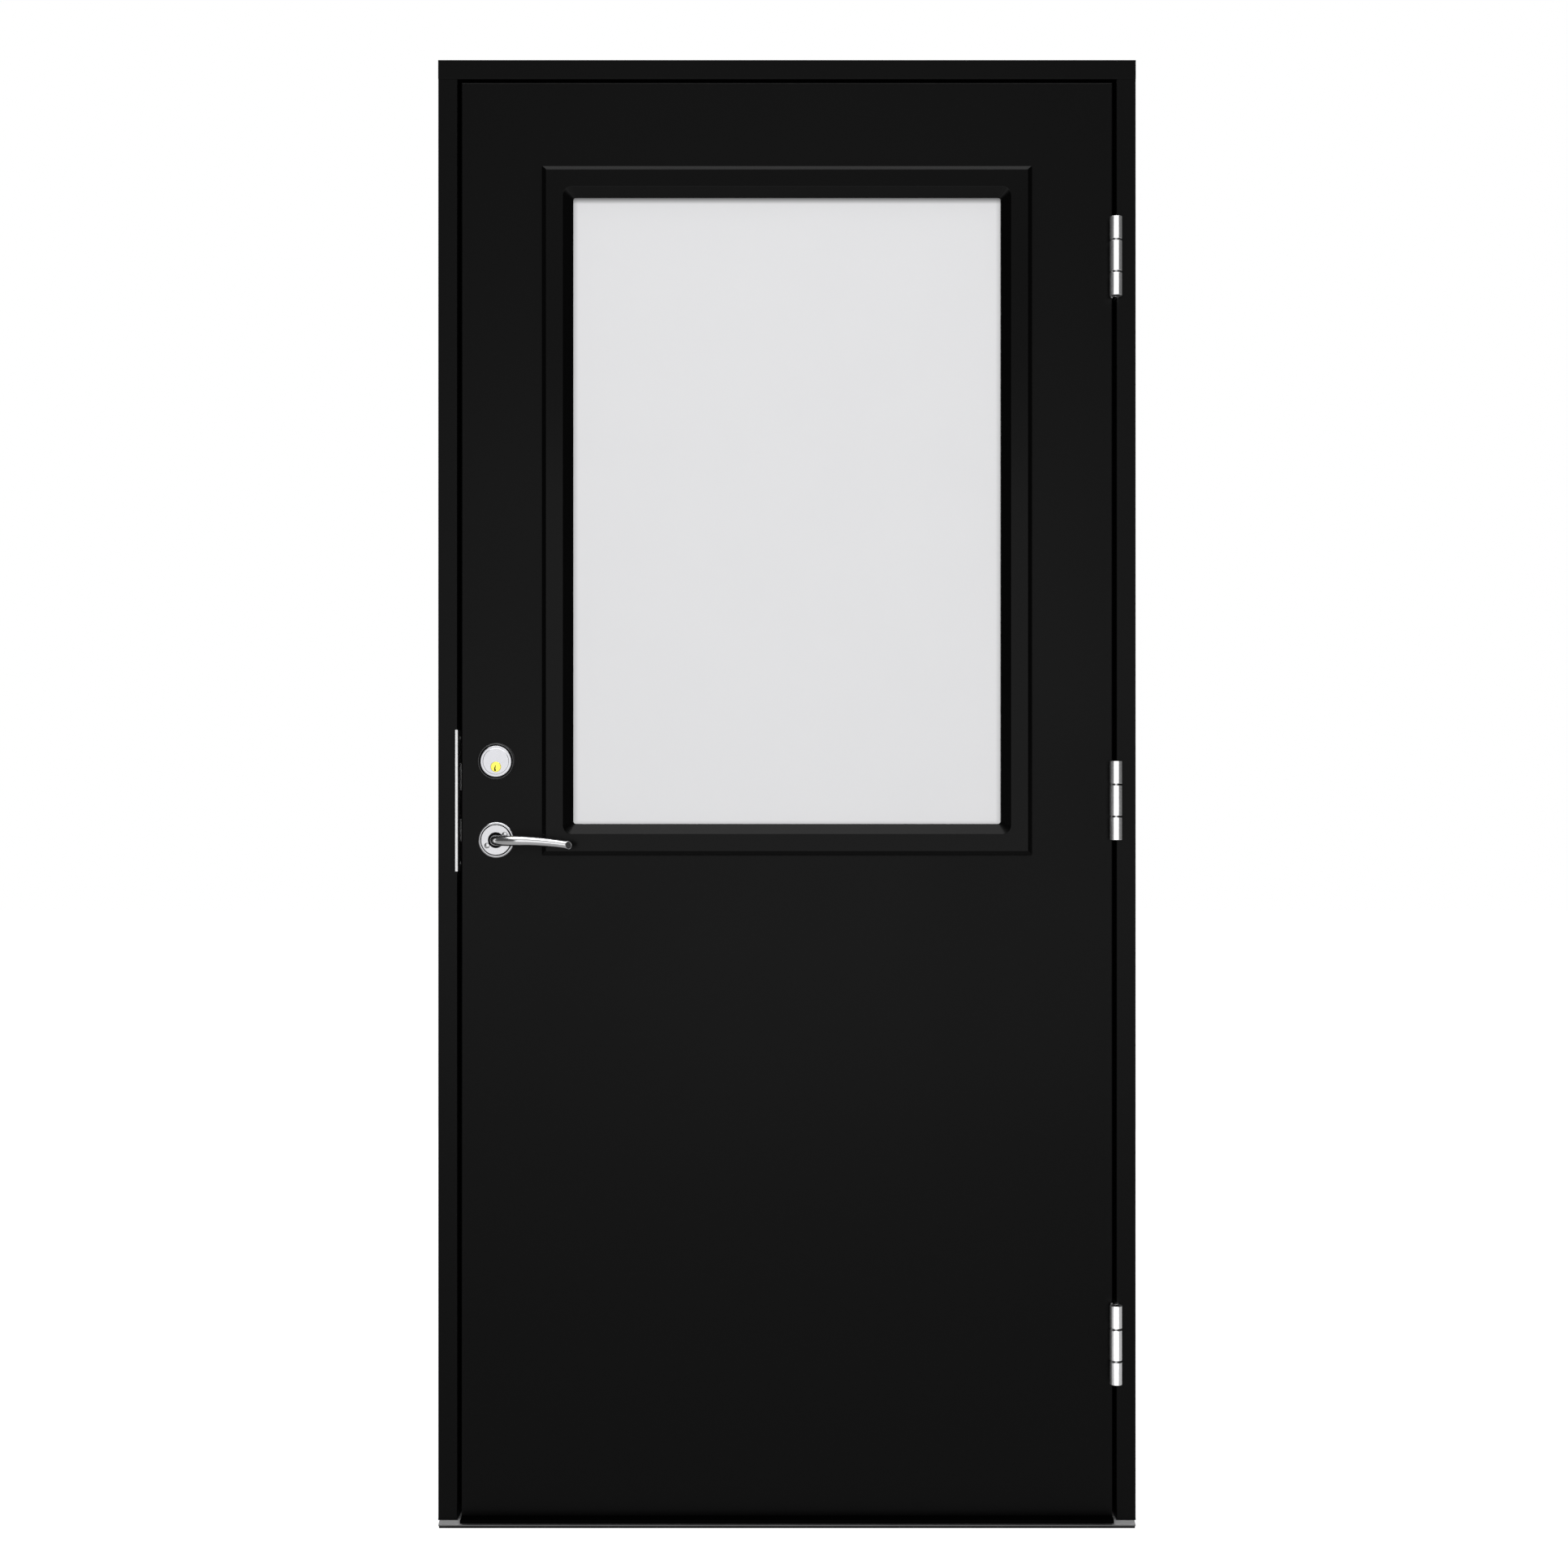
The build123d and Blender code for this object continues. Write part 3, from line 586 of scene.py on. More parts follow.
def buildRose(side, face, out, node):
    centre = Vector((leverAxis.x, face, leverAxis.z))
    outside = rose["disc"] + rose["groove"]
    piece = turnPiece(side + "Rose", centre, out, [
        (rose["neckHole"], 0, 0),
        (rose["radius"], 0, 0),
        (rose["radius"], rose["rim"] - rose["rimBevel"], rose["rimSoft"]),
        (rose["radius"] - rose["rimBevel"], rose["rim"], rose["rimSoft"]),
        (outside, rose["rim"], rose["lipSoft"]),
        (outside, rose["rim"] - rose["grooveDepth"], 0),
        (rose["disc"], rose["rim"] - rose["grooveDepth"], 0),
        (rose["disc"], rose["height"] - rose["crown"], rose["discSoft"]),
        (rose["hole"], rose["height"], rose["discSoft"]),
        (rose["hole"], rose["floor"], rose["lipSoft"]),
        (rose["neckHole"], rose["floor"], rose["floorSoft"]),
    ])
    aside = Vector((rose["screwOut"][0], 0, rose["screwOut"][1])) * mm
    seats = [centre - aside, centre + aside]
    for number, place in enumerate(seats, 1):
        spot = place + out * (rose["height"] - rose["screwDrop"]) * mm
        seat = turnPiece("screwSeat", spot, out, [
            (0, -rose["seatDepth"], 0),
            (rose["screwSeat"], -rose["seatDepth"], 0),
            (rose["screwSeat"], rose["seatOver"], 0),
            (0, rose["seatOver"], 0),
        ], rose["screwSides"])
        shapeBy(piece, seat, "DIFFERENCE")
        head = turnPiece(f"{side}RoseScrew{number}", spot, out, [
            (0, -rose["screwSink"], 0),
            (rose["screwRadius"], -rose["screwSink"], 0),
            (rose["screwRadius"], rose["screwEdge"], rose["screwSoft"]),
            (rose["screwRadius"] * rose["shoulderShare"], rose["screwDome"], rose["domeSoft"]),
            (0, rose["screwDome"] + rose["domeCrown"], 0),
        ], rose["screwSides"])
        settle(head, "leaf", "satin_chrome")
    settle(piece, "leaf", "satin_chrome", node)
    piece.data.materials[0] = roseChrome

    def inShade(part):  # painted shade on the groove round the disc, the hole round the neck, and the screws' seats
        below = rose["height"] - rose["shadeDrop"]
        belowRim = rose["rim"] - rose["grooveShade"]
        return (inGroove(part, centre, rose["disc"] - 2 * skim, outside + skim, belowRim)
                or inGroove(part, centre, rose["neckHole"], rose["hole"] + skim, below)
                or any(inGroove(part, seat, -1, rose["screwSeat"] + skim, below) for seat in seats))

    shadeFaces(piece, keywayDark, inShade)


lever = {
    "neck": 8.0, "neckFrom": 1.0, "neckTo": 8.5, "bend": 7.1, "bar": 6.4, "waist": 5.7, "waistShare": 0.6,
    "end": 5.7, "stand": 54.9, "elbow": 38.0, "taper": 26.0, "reach": 112.0, "droop": 6.8, "sagPower": 1.8,
    "endAngle": 36.0,
    "sides": 40, "elbowSteps": 24, "stations": 24, "rim": 0.7, "dishWidth": 1.4, "dishDepth": 0.5,
}


def leverRadius(along):  # the bend narrows to the bar, which is slimmest past its middle
    if along < lever["taper"]:
        share = along / lever["taper"]
        return lever["bend"] + (lever["bar"] - lever["bend"]) * share * share * (3 - 2 * share)
    share = (along - lever["taper"]) / (lever["reach"] - lever["elbow"] - lever["taper"])
    waistAt = lever["waistShare"]
    if share < waistAt:
        return lever["bar"] + (lever["waist"] - lever["bar"]) * share / waistAt
    return lever["waist"] + (lever["end"] - lever["waist"]) * (share - waistAt) / (1 - waistAt)


def buildLever(side, face, out, node):
    start = Vector((leverAxis.x, face, leverAxis.z)) + out * lever["neckFrom"] * mm
    clearSelection()
    bpy.ops.mesh.primitive_circle_add(vertices=lever["sides"], radius=lever["neck"] * mm, fill_type="NGON",
                                      location=start, rotation=(math.pi / 2, 0, 0))
    piece = nameNew(side + "Lever")
    bpy.ops.object.mode_set(mode="EDIT")
    bpy.ops.mesh.select_mode(type="FACE")
    bpy.ops.mesh.select_all(action="SELECT")
    seated = out * (lever["neckTo"] - lever["neckFrom"]) * mm
    straight = out * (lever["stand"] - lever["elbow"] - lever["neckFrom"]) * mm
    bpy.ops.mesh.extrude_region_move(TRANSFORM_OT_translate={"value": seated})
    bpy.ops.mesh.extrude_region_move(TRANSFORM_OT_translate={"value": straight - seated})
    slim = lever["bend"] / lever["neck"]
    bpy.ops.transform.resize(value=(slim, 1, slim), center_override=start + straight)
    turnCentre = start + straight + Vector((lever["elbow"] * mm, 0, 0))
    bpy.ops.mesh.spin(steps=lever["elbowSteps"], angle=out.y * math.pi / 2, center=turnCentre, axis=(0, 0, 1))
    barStart = turnCentre + out * lever["elbow"] * mm
    here = barStart
    radius = lever["bend"]
    length = lever["reach"] - lever["elbow"]
    for station in range(1, lever["stations"] + 1):
        along = length * station / lever["stations"]
        share = along / length
        sag = lever["droop"] * share ** lever["sagPower"]
        there = barStart + Vector((along, 0, -sag)) * mm
        bpy.ops.mesh.extrude_region_move(TRANSFORM_OT_translate={"value": there - here})
        grown = leverRadius(along) / radius
        bpy.ops.transform.resize(value=(1, grown, grown), center_override=there)
        radius = leverRadius(along)
        here = there
    slope = math.radians(lever["endAngle"])
    facing = Vector((math.cos(slope), 0, 0)) + out * math.sin(slope)
    bpy.ops.mesh.select_all(action="SELECT")
    cut = here - Vector((lever["end"] * math.tan(slope) * mm, 0, 0))
    bpy.ops.mesh.bisect(plane_co=cut, plane_no=facing, use_fill=True, clear_outer=True)
    pick(piece, "FACE", lambda face: face.normal.dot(facing) > 0.999)
    bpy.ops.mesh.bevel(offset=lever["rim"] * mm, segments=3, affect="EDGES")
    pick(piece, "FACE", lambda face: face.normal.dot(facing) > 0.9999)
    bpy.ops.mesh.inset(thickness=lever["dishWidth"] * mm, depth=-lever["dishDepth"] * mm)
    closeShell()
    settle(piece, "lever", "satin_chrome", node)


roseChrome = turnedFinish("roseChrome", grey(0.48, 0.015), grey(0.52, 0.015), 0.22, leverAxis)
buildRose("outer", leafFront, outdoors, "outer_rose")
buildRose("inner", leafBack, indoors, "inner_rose")
buildLever("outer", leafFront, outdoors, "outer_lever")
buildLever("inner", leafBack, indoors, "inner_lever")
print("roses and levers turned")


# Lock cylinder

lock = {
    "ringFoot": 26.5, "ringTop": 25.0, "ringLip": 24.1, "ringHole": 22.8, "ringHeight": 9.0, "groove": 3.0,
    "ringSoft": 0.5, "lipSoft": 0.2, "shadeDrop": 0.3, "disc": 22.4, "discSoft": 1.4, "discFoot": 22.7,
    "step": 18.0, "stepHeight": 0.4, "stepRun": 0.5, "stepSoft": (0.1, 0.25), "body": 17.0,
    "bodyLength": 34.0, "plug": 7.3, "plugHole": 7.35, "plugProud": 0.4, "plugLength": 38.0, "plugTop": 7.0,
    "plugMouth": 7.6, "plugLine": 1.8, "plugSoft": (0.3, 0.35), "mouthOver": 0.4, "slotOver": 1.0,
    "slotDepth": 25.0, "slotZone": 6.4,
    "slotZigzag": [(-2.0, -5.8), (0.2, -5.8), (0.3, -3.5), (-0.6, -3.0), (-0.5, -2.2), (-0.1, -0.6),
                   (0.0, 2.0), (-0.9, 2.3), (-1.2, 0.0), (-2.3, -1.6), (-1.6, -2.8), (-2.1, -3.4)],
}


def buildLock():
    centre = Vector((lockAxis.x, leafFront, lockAxis.z))
    top = lock["ringHeight"]
    grooveFloor = top - lock["groove"]
    below = top - lock["shadeDrop"]
    ring = turnPiece("cylinderRing", centre, outdoors, [
        (lock["ringHole"], 0, 0),
        (lock["ringFoot"], 0, lock["ringSoft"]),
        (lock["ringTop"], top, lock["ringSoft"]),
        (lock["ringLip"], top, lock["lipSoft"]),
        (lock["ringLip"], grooveFloor, 0),
        (lock["ringHole"], grooveFloor, 0),
    ])
    settle(ring, "leaf", "ring_dark", "cylinder_ring")
    lipWall = lock["ringLip"] + skim
    # painted shade on the groove between the ring's lip and the disc
    shadeFaces(ring, keywayDark, lambda part: inGroove(part, centre, lock["disc"], lipWall, below))

    face = turnPiece("lockFace", centre, outdoors, [
        (0, -lock["bodyLength"], 0),
        (lock["body"], -lock["bodyLength"], lock["ringSoft"]),
        (lock["body"], 0, 0),
        (lock["discFoot"], 0, 0),
        (lock["discFoot"], grooveFloor, 0),
        (lock["disc"], grooveFloor, 0),
        (lock["disc"], top, lock["discSoft"]),
        (lock["step"] + lock["stepRun"], top, lock["stepSoft"][0]),
        (lock["step"], top + lock["stepHeight"], lock["stepSoft"][1]),
        (0, top + lock["stepHeight"], 0),
    ])
    plugCentre = Vector((plugAxis.x, leafFront, plugAxis.z))
    plugTop = top + lock["stepHeight"] + lock["plugProud"]
    plugFoot = plugTop - lock["plugLength"]
    plugLine = plugTop - lock["plugLine"]
    hole = turnPiece("plugHole", plugCentre, outdoors, [
        (0, plugFoot, 0),
        (lock["plugHole"], plugFoot, 0),
        (lock["plugHole"], plugLine, 0),
        (lock["plugMouth"], plugLine, 0),
        (lock["plugMouth"], plugTop + lock["mouthOver"], 0),
        (0, plugTop + lock["mouthOver"], 0),
    ])
    shapeBy(face, hole, "DIFFERENCE")
    settle(face, "leaf", "satin_chrome", "lock_cylinder")
    face.data.materials[0] = turnedChrome
    discWall = lock["disc"] - 2 * skim
    # painted shade on the disc's side wall down in the groove
    shadeFaces(face, keywayDark, lambda part: inGroove(part, centre, discWall, lock["ringHole"], below))

    plug = turnPiece("keyPlug", plugCentre, outdoors, [
        (0, plugFoot, 0),
        (lock["plug"], plugFoot, lock["plugSoft"][0]),
        (lock["plug"], plugLine, 0),
        (lock["plugTop"], plugLine, 0),
        (lock["plugTop"], plugTop, lock["plugSoft"][1]),
        (0, plugTop, 0),
    ])
    mouth = plugCentre + outdoors * (plugTop + lock["slotOver"]) * mm
    zigzag = [(mouth + Vector((x, 0, z)) * mm, 0) for x, z in lock["slotZigzag"]]
    slot = pullOutline("keySlot", zigzag, indoors * (lock["slotDepth"] + lock["slotOver"]) * mm)
    shapeBy(plug, slot, "DIFFERENCE")
    settle(plug, "key_plug", "plug_brass", "key_plug")
    slotFrom = (skim - plugTop) * mm
    slotTo = (lock["slotDepth"] + 2 * lock["slotOver"] - plugTop) * mm

    # painted shade inside the key slot
    def inSlot(part):
        spot = part.calc_center_median() - plugCentre
        away = Vector((spot.x, spot.z)).length
        return away < lock["slotZone"] * mm and slotFrom < spot.y < slotTo

    shadeFaces(plug, keywayDark, inSlot)


thumbTurn = {
    "neck": 7.0, "neckLength": 6.0, "flare": 1.5, "flareSoft": 0.8, "overlap": 1.0, "height": 32.0,
    "width": 9.0, "depth": 16.0, "soft": 2.6, "waist": 0.78, "plateDraft": 1.0, "plateSoft": 1.2,
}


def buildInsideLock():
    centre = Vector((lockAxis.x, leafBack, lockAxis.z))
    plate = turnPiece("innerCylinderRose", centre, indoors, [
        (0, 0, 0),
        (lock["ringFoot"], 0, lock["ringSoft"]),
        (lock["ringTop"] - thumbTurn["plateDraft"], lock["ringHeight"], thumbTurn["plateSoft"]),
        (0, lock["ringHeight"], 0),
    ])
    settle(plate, "leaf", "ring_dark", "inner_cylinder_rose")
    foot = centre + indoors * lock["ringHeight"] * mm
    neckEnd = thumbTurn["neckLength"] + thumbTurn["overlap"]
    neck = turnPiece("thumbTurn", foot, indoors, [
        (0, 0, 0),
        (thumbTurn["neck"] + thumbTurn["flare"], 0, 0),
        (thumbTurn["neck"], thumbTurn["flare"], thumbTurn["flareSoft"]),
        (thumbTurn["neck"], neckEnd, 0),
        (0, neckEnd, 0),
    ])
    half = Vector((thumbTurn["width"], 0, thumbTurn["height"])) * mm / 2
    start = foot + indoors * thumbTurn["neckLength"] * mm
    wing = addBlock("turnWing", start - half, start + half + indoors * thumbTurn["depth"] * mm)
    bpy.ops.object.mode_set(mode="EDIT")
    pick(wing, "FACE", lambda part: part.normal.y > 0.9)
    bpy.ops.transform.resize(value=(thumbTurn["waist"], 1, 1), center_override=start)
    bpy.ops.object.mode_set(mode="OBJECT")
    soften(wing, thumbTurn["soft"], segments=5)
    shapeBy(neck, wing, "UNION")
    settle(neck, "leaf", "satin_chrome", "thumb_turn")


buildLock()
buildInsideLock()
print("lock built on both sides")


# Hinges: the upper one is modelled, the others are copies lower down

hinge = {
    "barrel": 8.7, "bore": 4.55, "boreSoft": 0.2, "endKnuckle": 32.9, "middleKnuckle": 44.8, "soft": 0.6,
    "short": 1.1, "sides": 64, "plate": 2.5, "plateDepth": 32.0, "plateCorner": 4.0, "armEnd": 6.5,
    "pin": 4.5, "pinSoft": 0.7, "pinSides": 48, "screw": 4.2,
    "screwPlaces": [(11.0, 42.0), (23.0, 14.0), (11.0, -14.0), (23.0, -42.0)],
}


def knuckle(name, low, length, shortFoot, shortTop):  # stands a little short of its neighbours
    return turnPiece(name, low, Vector((0, 0, 1)), [
        (hinge["bore"], shortFoot, hinge["boreSoft"]),
        (hinge["barrel"], shortFoot, hinge["soft"]),
        (hinge["barrel"], length - shortTop, hinge["soft"]),
        (hinge["bore"], length - shortTop, hinge["boreSoft"]),
    ], hinge["sides"])


def hingePlate(name, x, pull, halfHeight, armSpans, middle):  # its arms run forward into the knuckles
    armY = middle.y + hinge["armEnd"] * mm
    back = leafFront + hinge["plateDepth"] * mm

    def spot(y, z):
        return Vector((x, y, middle.z + z))

    rounding = hinge["plateCorner"]
    corners = [(spot(back, -halfHeight), rounding), (spot(back, halfHeight), rounding),
               (spot(leafFront, halfHeight), 0)]
    for top, bottom in armSpans:
        corners += [(spot(leafFront, top), 0), (spot(armY, top), 0), (spot(armY, bottom), 0),
                    (spot(leafFront, bottom), 0)]
    corners.append((spot(leafFront, -halfHeight), 0))
    kept = [corner for corner, after in zip(corners, corners[1:] + corners[:1])
            if (corner[0] - after[0]).length > hair]
    return pullOutline(name, kept, Vector((pull, 0, 0)))


def buildUpperHinge():
    low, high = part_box("upper_hinge_pin")
    middle = (low + high) / 2
    half = (high.z - low.z) / 2
    end = hinge["endKnuckle"] * mm
    inner = hinge["middleKnuckle"] * mm / 2
    axis = Vector((middle.x, middle.y, 0))
    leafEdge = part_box("outer_skin")[1].x
    thick = hinge["plate"] * mm
    jambX = leafEdge + 2 * (middle.x - leafEdge)
    framePlate = hingePlate("upperHingeFramePlate", jambX, thick, half,
                            [(half, half - end), (-half + end, -half)], middle)
    short = hinge["short"]
    for z, foot, top in ((low.z, 0, short), (high.z - end, short, 0)):
        part = knuckle("frameKnuckle", axis + Vector((0, 0, z)), hinge["endKnuckle"], foot, top)
        shapeBy(framePlate, part, "UNION")
    doorPlate = hingePlate("upperHingeDoorPlate", leafEdge, -thick, half, [(inner, -inner)], middle)
    doorFoot = axis + Vector((0, 0, middle.z - inner))
    part = knuckle("doorKnuckle", doorFoot, hinge["middleKnuckle"], short, short)
    shapeBy(doorPlate, part, "UNION")
    pin = turnPiece("upperHingePin", axis + Vector((0, 0, low.z)), Vector((0, 0, 1)), [
        (0, 0, 0),
        (hinge["pin"], 0, hinge["pinSoft"]),
        (hinge["pin"], 2 * half / mm, hinge["pinSoft"]),
        (0, 2 * half / mm, 0),
    ], hinge["pinSides"])
    screws = {}
    for name, x, axisX in (("upperHingeFrameScrews", jambX, -1), ("upperHingeDoorScrews", leafEdge, 1)):
        places = [Vector((x, leafFront, middle.z)) + Vector((0, y, z)) * mm for y, z in hinge["screwPlaces"]]
        head = screwHead(name, places[0], Vector((axisX, 0, 0)), hinge["screw"])
        screws[name] = screwRow(name, head, places)
    return framePlate, doorPlate, pin, screws["upperHingeFrameScrews"], screws["upperHingeDoorScrews"]


def buildHinges():
    parts = buildUpperHinge()
    upper = middleOf("upper_hinge_pin")
    for place in ("middle", "lower", "upper"):
        shift = middleOf(place + "_hinge_pin") - upper
        pieces = parts
        if place != "upper":
            pieces = [copyPiece(part, part.name.replace("upper", place), shift) for part in parts]
        framePlate, doorPlate, pin, frameScrews, doorScrews = pieces
        settle(framePlate, "frame", "hinge_zinc", place + "_hinge_frame_plate")
        settle(doorPlate, "leaf", "hinge_zinc", place + "_hinge_door_plate")
        settle(pin, "frame", "hinge_zinc", place + "_hinge_pin")
        # pins in the darker steel: painted shade in the knuckle joints
        pin.data.materials[0] = pinSteel
        settle(frameScrews, "frame", "zinc_plate")
        settle(doorScrews, "leaf", "zinc_plate")


buildHinges()
print("hinges hung")


# Strike plate in the jamb and faceplate in the leaf's edge

plates = {
    "corner": 3.0, "soft": 0.4, "boltMargin": 3.0, "screw": 4.2, "screwInset": 11.0, "strikeScrewY": 24.0,
    "strikeThin": 1.1, "faceplateLength": 235.0, "faceplateWidth": 22.0, "faceplate": 3.0, "boltWidth": 14.0,
    "boltClearance": 0.3, "cutDepth": 18.0,
}


def buildStrike():
    low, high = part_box("strike_plate")
    low.x += plates["strikeThin"] * mm
    plate = addBlock("strikePlate", low, high)
    bpy.ops.object.mode_set(mode="EDIT")
    pick(plate, "EDGE", lambda edge: all(vert.co.y > low.y + mm for vert in edge.verts)
         and abs(edge.verts[0].co.x - edge.verts[1].co.x) > mm)
    bpy.ops.mesh.bevel(offset=plates["corner"] * mm, segments=5, affect="EDGES")
    bpy.ops.object.mode_set(mode="OBJECT")
    for bolt in ("latch_bolt", "dead_bolt"):
        boltLow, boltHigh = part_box(bolt)
        margin = Vector((0, plates["boltMargin"], plates["boltMargin"])) * mm
        cutLow = Vector((low.x - mm, boltLow.y, boltLow.z)) - margin
        cutHigh = Vector((high.x + mm, boltHigh.y, boltHigh.z)) + margin
        shapeBy(plate, addBlock("boltCutter", cutLow, cutHigh), "DIFFERENCE")
    soften(plate, plates["soft"])
    settle(plate, "frame", "zinc_plate", "strike_plate")
    places = [Vector((high.x, plates["strikeScrewY"] * mm, z))
              for z in (low.z + plates["screwInset"] * mm, high.z - plates["screwInset"] * mm)]
    head = screwHead("strikeScrews", places[0], Vector((1, 0, 0)), plates["screw"])
    settle(screwRow("strikeScrews", head, places), "frame", "zinc_plate")


def buildFaceplate():
    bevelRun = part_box("inner_skin")[0].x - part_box("outer_skin")[0].x
    lean = math.atan2(bevelRun, leafBack - leafFront)
    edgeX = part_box("outer_skin")[0].x + bevelRun / 2
    edge = Vector((edgeX, (leafFront + leafBack) / 2, middleOf("strike_plate").z))
    inward = Vector((math.cos(lean), -math.sin(lean), 0))
    size = Vector((plates["faceplate"], plates["faceplateWidth"], plates["faceplateLength"])) * mm
    clearSelection()
    bpy.ops.mesh.primitive_cube_add(size=1, location=edge + inward * size.x / 2, rotation=(0, 0, -lean))
    bpy.context.active_object.scale = size
    plate = nameNew("lockFaceplate")
    bpy.ops.object.mode_set(mode="EDIT")
    pick(plate, "EDGE", lambda edge: (edge.verts[0].co - edge.verts[1].co).length < size.x * 1.5)
    bpy.ops.mesh.bevel(offset=plates["corner"] * mm, segments=5, affect="EDGES")
    bpy.ops.object.mode_set(mode="OBJECT")
    for bolt in ("latch_bolt", "dead_bolt"):
        boltLow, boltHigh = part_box(bolt)
        slack = 2 * plates["boltClearance"]
        tall = (boltHigh.z - boltLow.z) / mm + slack
        hole = Vector((plates["cutDepth"], plates["boltWidth"] + slack, tall)) * mm
        place = (edge.x, edge.y, (boltLow.z + boltHigh.z) / 2)
        clearSelection()
        bpy.ops.mesh.primitive_cube_add(size=1, location=place, rotation=(0, 0, -lean))
        bpy.context.active_object.scale = hole
        shapeBy(plate, nameNew("boltCutter"), "DIFFERENCE")
    soften(plate, plates["soft"])
    settle(plate, "leaf", "zinc_plate", "lock_faceplate")
    offset = Vector((0, 0, size.z / 2 - plates["screwInset"] * mm))
    places = [edge - offset, edge + offset]
    head = screwHead("faceplateScrews", places[0], -inward, plates["screw"])
    settle(screwRow("faceplateScrews", head, places), "leaf", "zinc_plate")


buildStrike()
buildFaceplate()
print("lock plates fitted")


# Threshold, drip bar and seals: drawn outlines pulled along their run

sill = {
    "noseHeight": 5.0, "noseSoft": 0.8, "noseFacing": 0.35, "base": 3.0, "baseBack": 0.8, "footSoft": 0.3,
    "heelSoft": 0.6, "ribFrom": 6.0, "ribStep": 6.0, "ribCount": 10, "ribWidth": 2.4, "ribDepth": 0.9,
    "ribSlope": 0.6, "ridgeSoft": 2.0, "gasket": 2.4, "shadeStripProud": 0.3, "stripSoft": 0.2, "leafGap": 5.0,
}


def buildSill():
    low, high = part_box("threshold")
    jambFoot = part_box("hinge_jamb")[0].z
    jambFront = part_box("hinge_jamb")[0].y

    def spot(y, z):
        return Vector((low.x, y, z))

    base = low.z + sill["base"] * mm
    corners = [(spot(low.y, base), sill["footSoft"]),
               (spot(low.y, sill["noseHeight"] * mm), sill["noseSoft"]),
               (spot(jambFront, jambFoot), sill["heelSoft"])]
    ribFloor = jambFoot - sill["ribDepth"] * mm
    slope = sill["ribSlope"] * mm
    for rib in range(sill["ribCount"]):
        start = jambFront + (sill["ribFrom"] + rib * sill["ribStep"]) * mm
        end = start + sill["ribWidth"] * mm
        corners += [(spot(start, jambFoot), 0), (spot(start + slope, ribFloor), 0),
                    (spot(end - slope, ribFloor), 0), (spot(end, jambFoot), 0)]
    corners += [(spot(high.y, jambFoot), sill["heelSoft"]), (spot(high.y, base), sill["footSoft"])]
    plate = pullOutline("sillPlate", corners, Vector((high.x - low.x, 0, 0)))
    settle(plate, "frame", "sill_alloy", "threshold")
    # painted shade on the sill nose's forward faces
    shadeFaces(plate, sillNose, lambda part: part.normal.y < -sill["noseFacing"])
    back = Vector((sill["baseBack"], sill["baseBack"], 0)) * mm
    strip = addBlock("sillBase", low + back, Vector((high.x, high.y, base)) - back)
    soften(strip, sill["stripSoft"])
    settle(strip, "frame", "seal_rubber")
    buildShadeStrips(jambFront, jambFoot)
    buildRidge(high, jambFoot)


def buildShadeStrips(jambFront, jambFoot):  # a thin black strip at the foot of each jamb, beside the leaf: painted shade for the shadow joint between jamb and sill
    proud = sill["shadeStripProud"] * mm
    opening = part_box("outer_skin")[1].x + sill["leafGap"] * mm
    spans = {"hingeJambGasket": (opening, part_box("hinge_jamb")[1].x),
             "latchJambGasket": (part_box("latch_jamb")[0].x, -opening)}
    for name, (left, right) in spans.items():
        gasket = addBlock(name, Vector((left, jambFront - proud, jambFoot)),
                          Vector((right, jambFront + proud, jambFoot + sill["gasket"] * mm)))
        soften(gasket, sill["stripSoft"])
        settle(gasket, "frame", "seal_rubber")


def buildRidge(high, jambFoot):  # the stop behind the seal
    sealLow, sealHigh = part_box("threshold_seal")

    def spot(y, z):
        return Vector((sealLow.x, y, z))

    ridge = pullOutline("sillRidge", [
        (spot(sealHigh.y, jambFoot), 0),
        (spot(sealHigh.y, high.z), sill["ridgeSoft"]),
        (spot(high.y, high.z), sill["ridgeSoft"]),
        (spot(high.y, jambFoot), 0),
    ], Vector((sealHigh.x - sealLow.x, 0, 0)))
    settle(ridge, "frame", "sill_alloy")


dripBar = {"lip": 4.0, "lipDrop": 4.4, "topFall": 0.8, "noseSoft": 0.5, "lipSoft": 0.8}


def buildDripBar():
    low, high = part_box("drip_bar")

    def spot(y, z):
        return Vector((low.x, y, z))

    foot = low.z + dripBar["lipDrop"] * mm
    lipBack = low.y + dripBar["lip"] * mm
    piece = pullOutline("dripBar", [
        (spot(high.y, foot), 0),
        (spot(high.y, high.z), 0),
        (spot(low.y, high.z - dripBar["topFall"] * mm), dripBar["noseSoft"]),
        (spot(low.y, low.z), dripBar["lipSoft"]),
        (spot(lipBack, low.z), dripBar["lipSoft"]),
        (spot(lipBack, foot), dripBar["lipSoft"]),
    ], Vector((high.x - low.x, 0, 0)))
    settle(piece, "leaf", "drip_black", "drip_bar")


bulbSeal = {  # (across, up from the stop, rounding)
    "outline": [(-4.5, 0, 0.2), (4.5, 0, 0.2), (4.4, 1.9, 0.7), (2.0, 2.4, 0.5), (3.4, 3.6, 0.9),
                (3.4, 7.6, 2.6), (-3.4, 7.6, 2.6), (-3.4, 3.6, 0.9), (-2.0, 2.4, 0.5), (-4.4, 1.9, 0.7)],
    "smooth": 50,
}


def buildSeal(name, node, upright):
    low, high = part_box(node)
    middle = (low + high) / 2
    across = Vector((1, 0, 0)) if upright else Vector((0, 0, 1))
    start = Vector((middle.x, high.y, low.z)) if upright else Vector((low.x, high.y, middle.z))
    pull = Vector((0, 0, high.z - low.z)) if upright else Vector((high.x - low.x, 0, 0))
    corners = [(start + across * a * mm + outdoors * up * mm, soft) for a, up, soft in bulbSeal["outline"]]
    settle(pullOutline(name, corners, pull), "frame", "seal_rubber", node, smooth=bulbSeal["smooth"])


